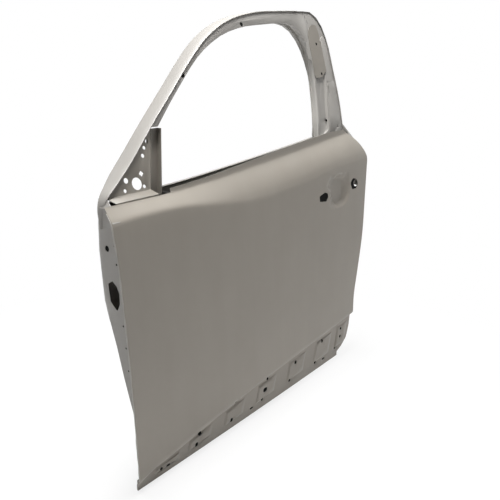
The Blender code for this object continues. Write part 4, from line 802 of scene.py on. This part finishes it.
@dataclass
class OuterPanel:
    """The outer panel: one pressed sheet whose edge is hemmed over the inner panel."""

    nodes: dict[str, Piece]
    form: DoorForm = field(default_factory=DoorForm)
    gauge: float = 0.0008
    hem_width: float = 0.012
    hem_thickness: float = 0.0043
    flange: float = 0.021
    flange_start: float = 0.178
    flange_end: float = 0.918
    hem_end_share: float = 1.055
    shade_grow: float = 1.25
    shade_room: float = 0.0011
    see_through: Row = (0.9945, 0.6125, 0.030, 0.024)
    hem_top_share: float = 0.985
    corner_step: float = 0.006
    lock_turn: float = 0.009
    arm_turn: float = 0.004
    hole_growths: Row = (1.3, 1.8, 2.5)
    hole_clear: float = 2.6
    scoop_clear: float = 1.22
    flange_fade: float = 0.1
    flange_rise: float = 0.5
    column_step: float = 0.008
    crease_lifts: Row = (-0.009, -0.006, -0.003, 0.0, 0.003, 0.006, 0.009)
    belt_lifts: Row = (-0.004, -0.002, -0.0005, 0.004, 0.010)

    def rear_line(self) -> Path:
        """Lay the rear edge from the lower notch up to the belt."""
        form = self.form
        rising = tuple((height, place) for place, height in form.rear_edge[:6])
        heights = np.linspace(form.rear_edge[0][1], form.rear_edge[5][1], 70) * form.belt_height
        places = follow(rising, heights, form.belt_height, form.length)
        turn = smooth_path(form.body(form.rear_edge[5:]), 50)
        corner = evenly(form.body(form.rear_corner), self.corner_step)
        return np.vstack([corner, np.column_stack([places, heights])[1:], turn[1:]])

    def hem_line(self) -> Path:
        """Lay the edge that the hem folds over: down the front, along the foot and up the rear."""
        form = self.form
        heights = np.linspace(self.hem_top_share * form.belt_height, 0, 90)
        front = np.column_stack([form.front_x(heights), heights])
        places = np.linspace(0, form.rear_corner[0][0] * form.length, 130)
        foot = np.column_stack([places, form.bottom_z(places)])
        rear = self.rear_line()
        rear = rear[rear[:, 1] < self.hem_end_share * form.belt_height]
        return np.vstack([front, foot[1:], rear[1:]])

    def spots(self) -> Path:
        """Spread points in columns that follow the crease, the step and the belt."""
        form = self.form
        columns = np.arange(0.004, form.length, self.column_step)
        foot, step = form.bottom_z(columns), form.cladding_z(columns)
        crease, belt = form.crease_z(columns), form.belt_z(columns)
        rows = [foot + (step - form.step_run - foot) * share
                for share in np.linspace(0.02, 0.98, 9)]
        rows += [step - form.step_run * share for share in np.linspace(0.0, 1.0, 6)]
        rows += [step + (crease - step) * share for share in np.linspace(0.02, 0.97, 52)]
        rows += [crease + lift for lift in self.crease_lifts]
        rows += [crease + (belt - crease) * share for share in np.linspace(0.25, 0.88, 8)]
        rows += [belt + lift for lift in self.belt_lifts]
        points = np.vstack([np.column_stack([columns, row]) for row in rows])
        scoop = np.hypot((points[:, 0] - form.scoop_place[0]) / form.scoop_length * 2,
                         (points[:, 1] - form.scoop_place[1]) / form.scoop_height * 2)
        rings = [oval(form.scoop_place, form.scoop_length * share, form.scoop_height * share, 48)
                 for share in np.linspace(0.05, 1.20, 26)]
        return np.vstack([points[scoop > self.scoop_clear]] + rings)

    def build(self) -> list[Piece]:
        """Lay the sheet, fold its hem, give it its gauge and dress it."""
        form = self.form
        edge = self.hem_line()
        rear = self.rear_line()
        rear = rear[rear[:, 1] >= self.hem_end_share * form.belt_height]
        along = np.linspace(self.flange_end, self.flange_start, 90) * form.length
        left = (self.flange_end * form.length - along) / (self.flange_fade * form.length)
        gone = (along - self.flange_start * form.length) / (self.flange_rise * form.length)
        taper = (ease(left) * 0.4 + 0.6) * (ease(gone) * 0.5 + 0.5)
        top = np.column_stack([along, form.belt_z(along) + self.flange * taper])
        lead = np.linspace(self.flange_start, 0, 28)[:-1] * form.length
        lead = np.column_stack([lead, form.belt_z(lead)])
        start = np.array([[form.front_x(form.belt_height), form.belt_height]])
        outline = np.vstack([start, edge, rear, top, lead])

        holes = []
        for across, up, width, height in form.holes:
            centre = form.body([(across, up)])[0]
            holes.append(oval(centre, width * form.hole_unit, height * form.hole_unit, 18))
        holes.append(rounded(form.body(form.lock_hole), self.lock_turn))
        holes.append(rounded(form.body(form.arm_hole), self.arm_turn))
        folds = []
        for shares in form.pads:
            folds.append((form.pad_corners(shares), True))
            folds.append((form.pad_corners(shares, form.pad_slope), True))
        spots = self.spots()
        spots = spots[within(spots, outline)]
        for hole in holes:
            centre = hole.mean(axis=0)
            around = [centre + (hole - centre) * grow for grow in self.hole_growths]
            reach = np.hypot(*(hole - centre).T).max() * self.hole_clear
            near = np.hypot(*(spots - centre).T) < reach
            spots = np.vstack([spots[~near]] + around)
        spots = spots[within(spots, outline)]

        surface = bmesh.new()
        lay_sheet(surface, outline, form.skin, holes, folds, spots)
        depths = form.skin(edge[:, 0], edge[:, 1])
        slope = self.slant(edge)
        inner = beside(edge, self.hem_width)
        seat = form.plain(inner[:, 0], inner[:, 1]) + self.hem_thickness * self.slant(inner)
        rings = [np.column_stack([edge[:, 0], depths, edge[:, 1]]),
                 np.column_stack([edge[:, 0], depths + self.hem_thickness * slope, edge[:, 1]]),
                 np.column_stack([inner[:, 0], seat, inner[:, 1]])]
        lay_strips(surface, rings)
        piece = from_surface("outer_panel_finish", surface)
        finish_sheet(piece, self.gauge, (0, -1, 0))
        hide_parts("outer_panel")
        seat_piece(piece, PRIMER)
        return [piece, self.hole_shade("lock_hole_shade", form.lock_hole, [self.see_through]),
                self.hole_shade("arm_hole_shade", form.arm_hole, [])]

    def hole_shade(self, name: str, ring: tuple[Row, ...], gaps: list[Row]) -> Piece:
        """Lay a near-black sheet behind a hole of the skin, painted shade for the dark space
        behind it.

        Args:
            name: Name of the new piece.
            ring: The hole's corners, as shares of length and belt height.
            gaps: Places and widths of round holes that stay open.

        Returns:
            The new piece.
        """
        form = self.form
        hole = form.body(ring)
        centre = hole.mean(axis=0)
        outline = centre + (rounded(hole, 0.006) - centre) * self.shade_grow
        holes = [oval(gap[:2], gap[2], gap[3], 24) for gap in gaps]
        surface = bmesh.new()
        lay_sheet(surface, outline, lambda x, z: form.plain(x, z) + self.shade_room, holes, [],
                  spots=np.empty((0, 2)))
        return finish_mesh(name, surface, self.gauge / 2, (0, -1, 0), PAINTED_SHADE_BLACK)

    def slant(self, path: Path) -> Path:
        """Depth that a unit of thickness takes up along a path."""
        near = self.form.step_run / 2
        here = self.form.plain(path[:, 0], path[:, 1])
        across = [np.abs(self.form.plain(path[:, 0] + way, path[:, 1]) - here) / near
                  for way in (near, -near)]
        up = [np.abs(self.form.plain(path[:, 0], path[:, 1] + way) - here) / near
              for way in (near, -near)]
        return np.sqrt(1 + np.max(across, axis=0) ** 2 + np.max(up, axis=0) ** 2)


@dataclass(frozen=True)
class FrameForm:
    """The leaning plane of the window frame and its outer line, from the same corner."""

    belt: float = 0.712
    height: float = 0.449
    foot: float = 0.0598
    tumble: float = 0.2698
    front: tuple[Row, ...] = (
        (0.0252, 0.020), (0.1065, 0.174), (0.186, 0.3385), (0.290, 0.545), (0.360, 0.684),
        (0.428, 0.800), (0.516, 0.900), (0.624, 0.962), (0.761, 0.989), (0.870, 1.0),
    )
    length: float = 1.070

    def face(self, z: Path) -> Path:
        """Depth of the frame's outer face at a height."""
        return self.foot + self.tumble * (np.asarray(z, float) - self.belt)

    def facing(self) -> Vector:
        """Direction that the frame's outer face looks in."""
        return Vector((0.0, -1.0, self.tumble)).normalized()

    def outer_line(self, count: int) -> Path:
        """Spread points along the outer line of front pillar and header."""
        shares = np.array(self.front) * (self.length, self.height) + (0, self.belt)
        return smooth_path(shares, count)


@dataclass
class PillarRim:
    """The turned edge that runs from the hinge wall up the front pillar and over the header."""

    frame: FrameForm = field(default_factory=FrameForm)
    foot: tuple[Row, ...] = (
        (0.0125, 0.655), (0.0124, 0.675), (0.0132, 0.695), (0.0185, 0.7135), (0.0290, 0.7275),
        (0.0445, 0.7395), (0.0625, 0.7522), (0.0805, 0.7660),
    )
    room: float = 0.0016
    gauge: float = 0.0006
    lip_start: float = 0.725
    lip: tuple[Row, ...] = ((0.655, 0.078), (0.68, 0.0735), (0.70, 0.068), (0.725, 0.0633))
    edge: tuple[Row, ...] = (
        (0.655, 0.081), (0.68, 0.0835), (0.70, 0.0855), (0.7135, 0.0875), (0.7275, 0.0925),
        (0.7395, 0.1005), (0.7522, 0.1105), (0.766, 0.1185), (0.7785, 0.1245), (0.80, 0.1305),
        (0.825, 0.1370), (0.85, 0.1435), (0.87, 0.1488), (0.90, 0.1569), (0.94, 0.1677),
        (0.98, 0.1785), (1.02, 0.1893), (1.06, 0.2001), (1.10, 0.2109), (1.17, 0.2298),
    )
    section: tuple[Row, ...] = (
        (0.0032, 0.0, -0.0006), (0.0032, 0.0, -0.0030), (0.0024, 0.0, -0.0040),
        (0.0009, 0.0, -0.0042), (0.0, 0.0, -0.0030), (0.0, 0.5, 0.0), (0.0, 1.0, -0.0014),
        (0.0007, 1.0, -0.0003), (0.0036, 1.0, 0.0),
    )
    start_place: float = 0.095
    end_place: float = 0.905
    count: int = 260

    def line(self) -> Path:
        """Lay the rim's line in the plane of length and height."""
        top = self.frame.outer_line(200)
        top = top[(top[:, 0] > self.start_place) & (top[:, 0] < self.end_place)]
        corners = np.vstack([np.array(self.foot), beside(top, self.room)[::8]])
        return smooth_path(corners, self.count)

    def build(self) -> list[Piece]:
        """Lay the rim round its section: inset, share of the way to the cabin edge, shift."""
        line = self.line()
        heights = line[:, 1]
        outer = np.where(heights < self.lip_start, follow(self.lip, heights),
                         self.frame.face(heights))
        cabin = follow(self.edge, heights)
        rings = []
        for inset, share, shift in self.section:
            path = beside(line, -inset)
            depth = outer * (1 - share) + cabin * share + shift
            rings.append(np.column_stack([path[:, 0], depth, path[:, 1]]))
        surface = bmesh.new()
        lay_strips(surface, rings)
        return [finish_mesh("pillar_rim", surface, self.gauge, (-0.6, 0.0, 0.8), INNER_PRIMER,
                            even=False)]


@dataclass
class FrameInsert:
    """The channel floor on the rear pillar, with its holes, darkened by painted shade."""

    frame: FrameForm = field(default_factory=FrameForm)
    outline: tuple[Row, ...] = (
        (0.9600, 0.9560), (0.9919, 0.9751), (0.9929, 1.0070), (0.9945, 1.0548), (0.9932, 1.1000),
        (0.9869, 1.1200), (0.9697, 1.1220), (0.9500, 1.1138), (0.9370, 1.0990), (0.9290, 1.0606),
        (0.9265, 1.0046), (0.9230, 0.9540),
    )
    holes: tuple[Row, ...] = ((0.9685, 1.0610), (0.9625, 0.9672))
    corner: tuple[Row, ...] = (
        (0.9050, 1.0180), (0.9300, 1.0080), (0.9450, 1.0600), (0.9350, 1.0760), (0.9130, 1.0650),
    )
    corner_lift: float = 0.0002
    hole_width: float = 0.0095
    lift: float = 0.0013
    gauge: float = 0.0008

    def build(self) -> list[Piece]:
        """Lay the insert over the pillar's face."""
        holes = [oval(place, self.hole_width, self.hole_width, 20) for place in self.holes]
        pieces = []
        for name, ring, radius, lift, gaps, coat in (
                ("pillar_channel", self.outline, 0.006, self.lift, holes, PAINTED_SHADE_PRIMER),
                ("pillar_corner", self.corner, 0.004, self.corner_lift, [], INNER_PRIMER)):
            surface = bmesh.new()
            lay_sheet(surface, rounded(np.array(ring), radius, 5),
                      lambda x, z, lift=lift: self.frame.face(z) - lift, gaps, [], [])
            pieces.append(finish_mesh(name, surface, self.gauge, (0, -1, 0), coat))
        return pieces


@dataclass
class SealerBead:
    """The bead of sealer along the hem on the hinge wall."""

    form: DoorForm = field(default_factory=DoorForm)
    radius: float = 0.0017
    low: float = 0.030
    high: float = 0.700
    inset: float = 0.0004
    lift: float = 0.0026
    waves: tuple[Row, ...] = ((0.0004, 61.0), (0.0003, 143.0))

    def build(self) -> list[Piece]:
        """Lay the bead along the front edge."""
        heights = np.linspace(self.low, self.high, 120)
        places = self.form.front_x(heights) - self.inset
        depths = self.form.plain(places, heights) + self.lift
        size = self.radius + sum(reach * np.sin(heights * rate) for reach, rate in self.waves)
        rings = []
        for turn in np.linspace(0, math.tau, 11):
            rings.append(np.column_stack([places + np.cos(turn) * size,
                                          depths + np.sin(turn) * size, heights]))
        surface = bmesh.new()
        lay_strips(surface, rings)
        bmesh.ops.remove_doubles(surface, verts=surface.verts, dist=MERGE)
        bmesh.ops.holes_fill(surface, edges=[edge for edge in surface.edges if edge.is_boundary])
        bmesh.ops.recalc_face_normals(surface, faces=surface.faces)
        piece = from_surface("hem_sealer", surface)
        bpy.ops.object.shade_smooth_by_angle(angle=BEAD_ANGLE)
        seat_piece(piece, SEALER)
        return [piece]


@dataclass
class HoleBacks:
    """Near-black backs behind small holes: painted shade that stands in for the dark space behind
    them.
    """

    form: DoorForm = field(default_factory=DoorForm)
    frame: FrameForm = field(default_factory=FrameForm)
    margin: float = 0.0012
    thickness: float = 0.0006
    skin_room: float = 0.0017
    frame_holes: tuple[Row, ...] = (
        (0.3445, 0.9787, 0.009, 0.009, -0.0003), (0.6180, 1.1120, 0.009, 0.009, -0.0003),
        (0.9685, 1.0610, 0.010, 0.010, 0.0004), (0.9625, 0.9672, 0.010, 0.010, 0.0004),
        (0.9807, 0.9136, 0.006, 0.028, 0.0030), (0.9840, 0.9390, 0.006, 0.006, 0.0030),
        (0.9360, 0.8202, 0.006, 0.006, 0.0030), (0.9860, 0.7973, 0.006, 0.006, 0.0030),
    )

    def build(self) -> list[Piece]:
        """Set a back behind each hole."""
        pieces = []
        for index, (across, up, width, height) in enumerate(self.form.holes, 1):
            x, z = self.form.body([(across, up)])[0]
            y = float(self.form.skin(np.array(x), np.array(z))) + self.skin_room
            size = (width * self.form.hole_unit, height * self.form.hole_unit)
            pieces.append(self.disc(f"clip_hole_painted_shade_{index}", (x, y, z), size,
                                    Vector((0, -1, 0))))
        for index, (x, z, width, height, sunk) in enumerate(self.frame_holes, 1):
            y = float(self.frame.face(z)) + sunk
            pieces.append(self.disc(f"frame_hole_painted_shade_{index}", (x, y, z), (width, height),
                                    self.frame.facing()))
        return pieces

    def disc(self, name: str, place: Row, size: Row, facing: Vector) -> Piece:
        """Set one oval disc that faces a direction.

        Args:
            name: The disc's name.
            place: Its centre, from the panel's lower front corner.
            size: Width and height of the hole that it backs.
            facing: Direction that it faces.

        Returns:
            The finished disc.
        """
        bpy.ops.object.select_all(action="DESELECT")
        bpy.ops.mesh.primitive_cylinder_add(vertices=20, radius=0.5, depth=self.thickness)
        piece = bpy.context.active_object
        piece.name = name
        piece.scale = (size[0] + 2 * self.margin, size[1] + 2 * self.margin, 1.0)
        across = Vector((1.0, 0.0, 0.0))
        up = facing.cross(across) * -1
        pose = Matrix((across, up, facing)).transposed().to_4x4()
        pose.translation = Vector(place) + CORNER
        piece.matrix_world = pose @ Matrix.Diagonal((*piece.scale, 1.0))
        bpy.ops.object.transform_apply(location=True, rotation=True, scale=True)
        seat_piece(piece, PAINTED_SHADE_BLACK)
        return piece


@dataclass
class InnerPanel:
    """The inner panel."""

    nodes: dict[str, Piece]
    wall_holes: tuple[Row, ...] = (
        (0.0370, 0.6928), (0.0360, 0.6586), (0.0350, 0.6209), (0.0340, 0.5781), (0.0240, 0.5411),
        (0.0179, 0.5041), (0.0210, 0.4656), (0.0315, 0.4300), (0.0294, 0.3752), (0.0284, 0.3168),
        (0.0158, 0.2698),
    )
    hole_reach: float = 0.0045
    bolt_hole: Row = (0.0630, 0.6110, 0.0105)
    wall_depth: float = 0.060
    back_share: float = 2.1
    back_room: float = 0.0002
    back_gauge: float = 0.0003

    def build(self) -> list[Piece]:
        """Refine and dress the inner panel, with a near-black back of painted shade behind each
        hole of its wall.
        """
        piece = refined_node("inner_panel_finish", self.nodes["inner_panel"], 0.0)
        seat_piece(piece, INNER_PRIMER)
        spots = np.array([tuple(vertex.co - CORNER) for vertex in piece.data.vertices])
        pieces = [piece]
        holes = [(*hole, self.hole_reach) for hole in self.wall_holes] + [self.bolt_hole]
        for index, (y, z, reach) in enumerate(holes, 1):
            near = np.hypot(spots[:, 1] - y, spots[:, 2] - z) < reach
            near &= spots[:, 0] < self.wall_depth
            if not near.any():
                LOG.warning("no wall hole at %s %s", y, z)
                continue
            surface = bmesh.new()
            width = reach * self.back_share
            lay_sheet(surface, oval((y, z), width, width, 20),
                      lambda a, b: np.zeros(np.shape(a)), [], [], np.empty((0, 2)))
            place = spots[near, 0].max() + self.back_room
            for vertex in surface.verts:
                vertex.co = Vector((place, vertex.co.x, vertex.co.z))
            pieces.append(finish_mesh(f"wall_hole_painted_shade_{index}", surface, self.back_gauge,
                                      (-1, 0, 0), PAINTED_SHADE_BLACK))
        return pieces


@dataclass
class Studio:
    """Floor, lamps and the camera at the photo's viewing angle."""

    floor_z: float = -0.6525
    floor_size: float = 60.0
    floor_tone: Row = (0.9, 0.9, 0.9, 1.0)
    white_share: float = 0.80
    fade_reach: Row = (0.5, 1.5)
    camera_place: Row = (-0.782, -1.100, 0.332)
    azimuth: float = 48.748
    pitch: float = 16.279
    roll: float = -2.078
    lens: float = 43.96
    ambient: float = 0.03
    lamps: tuple[tuple[str, Row, Row, float, float], ...] = (
        ("over_lamp", (0.5, 0.15, 2.8), (0.5, 0.0, 0.0), 1.4, 192.0),
        ("side_lamp", (2.8, -1.6, 2.6), (0.6, 0.0, 0.0), 2.2, 12.0),
        ("front_lamp", (-2.2, -0.6, 2.6), (0.4, 0.0, 0.0), 2.2, 16.0),
    )

    def build(self) -> None:
        """Lay the floor, hang the lamps and place the camera."""
        self.lay_floor()
        self.light_world()
        for lamp in self.lamps:
            self.hang_lamp(*lamp)
        self.place_camera()

    def lay_floor(self) -> None:
        """Lay a plain pale floor that keeps the door's shadow."""
        bpy.ops.object.select_all(action="DESELECT")
        bpy.ops.mesh.primitive_plane_add(size=self.floor_size, location=(0, 0, self.floor_z))
        floor = bpy.context.active_object
        floor.name = "floor"
        material = bpy.data.materials.new("floor_white")
        material.use_nodes = True
        tree = material.node_tree
        shader = tree.nodes["Principled BSDF"]
        shader.inputs["Base Color"].default_value = self.floor_tone
        shader.inputs["Roughness"].default_value = 0.9
        glow = tree.nodes.new("ShaderNodeEmission")
        glow.inputs["Color"].default_value = (1.0, 1.0, 1.0, 1.0)
        glow.inputs["Strength"].default_value = 1.0
        seen = self.shown(tree)
        place = tree.nodes.new("ShaderNodeTexCoord")
        reach = tree.nodes.new("ShaderNodeVectorMath")
        reach.operation = "LENGTH"
        link(tree, place.outputs["Object"], reach.inputs[0])
        fade = spread(tree, reach.outputs["Value"], self.white_share, 1.0, *self.fade_reach)
        mix = tree.nodes.new("ShaderNodeMixShader")
        link(tree, combine(tree, "MULTIPLY", seen, fade), mix.inputs["Fac"])
        link(tree, shader.outputs["BSDF"], mix.inputs[1])
        link(tree, glow.outputs["Emission"], mix.inputs[2])
        link(tree, mix.outputs["Shader"], tree.nodes["Material Output"].inputs["Surface"])
        floor.data.materials.append(material)

    def light_world(self) -> None:
        """Light evenly from all round, with white behind the door."""
        world = bpy.data.worlds.new("studio")
        bpy.context.scene.world = world
        world.use_nodes = True
        tree = world.node_tree
        ambient = tree.nodes["Background"]
        ambient.inputs["Color"].default_value = (1.0, 1.0, 1.0, 1.0)
        ambient.inputs["Strength"].default_value = self.ambient
        white = tree.nodes.new("ShaderNodeBackground")
        white.inputs["Color"].default_value = (1.0, 1.0, 1.0, 1.0)
        white.inputs["Strength"].default_value = 1.0
        mix = tree.nodes.new("ShaderNodeMixShader")
        link(tree, self.shown(tree), mix.inputs["Fac"])
        link(tree, ambient.outputs["Background"], mix.inputs[1])
        link(tree, white.outputs["Background"], mix.inputs[2])
        link(tree, mix.outputs["Shader"], tree.nodes["World Output"].inputs["Surface"])

    def shown(self, tree: Tree) -> Socket:
        """Tell camera, mirror and see-through rays, which meet plain white, from the rest."""
        path = tree.nodes.new("ShaderNodeLightPath")
        found = path.outputs["Is Camera Ray"]
        for name in ("Is Glossy Ray", "Is Transmission Ray"):
            found = combine(tree, "MAXIMUM", found, path.outputs[name])
        return found

    def hang_lamp(self, name: str, place: Row, target: Row, size: float, power: float) -> None:
        """Hang a square soft lamp that points at a target.

        Args:
            name: Name of the lamp.
            place: Where it hangs.
            target: The point it faces.
            size: Side of the square.
            power: Its power in watts.
        """
        data = bpy.data.lights.new(name, "AREA")
        data.size = size
        data.energy = power
        lamp = bpy.data.objects.new(name, data)
        bpy.context.scene.collection.objects.link(lamp)
        lamp.location = place
        lamp.rotation_euler = (Vector(target) - Vector(place)).to_track_quat("-Z", "Y").to_euler()

    def place_camera(self) -> None:
        """Place the camera where the photo was taken from."""
        data = bpy.data.cameras.new("photo_camera")
        data.lens = self.lens
        data.sensor_width = 36.0
        data.sensor_fit = "HORIZONTAL"
        camera = bpy.data.objects.new("photo_camera", data)
        bpy.context.scene.collection.objects.link(camera)
        turn, dip = math.radians(self.azimuth), math.radians(self.pitch)
        ahead = Vector((math.sin(turn) * math.cos(dip), math.cos(turn) * math.cos(dip),
                        -math.sin(dip)))
        right = ahead.cross(Vector((0.0, 0.0, 1.0))).normalized()
        up = right.cross(ahead)
        lean = math.radians(self.roll)
        side = right * math.cos(lean) + up * math.sin(lean)
        top = up * math.cos(lean) - right * math.sin(lean)
        pose = Matrix((side, top, -ahead)).transposed().to_4x4()
        pose.translation = Vector(self.camera_place)
        camera.matrix_world = pose
        bpy.context.scene.camera = camera


def corners(box: tuple[Vector, Vector]) -> list[list[float]]:
    """Turn a box into plain lists of numbers."""
    return [[float(value) for value in corner] for corner in box]


def main() -> None:
    """Load the solids, dress them and set up the studio."""
    logging.basicConfig(level=logging.INFO)
    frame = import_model()
    bpy.context.scene.view_settings.view_transform = "Standard"
    primer_coat_group()
    tint_group()
    nodes = frame["nodes"]
    for part in (OuterPanel(nodes), InnerPanel(nodes), BracedPressings(nodes), PillarRim(),
                 FrameInsert(), SealerBead(), HoleBacks()):
        for piece in part.build():
            LOG.info("%s: %d faces", piece.name, len(piece.data.polygons))
    Studio().build()


if __name__ == "__main__":
    main()
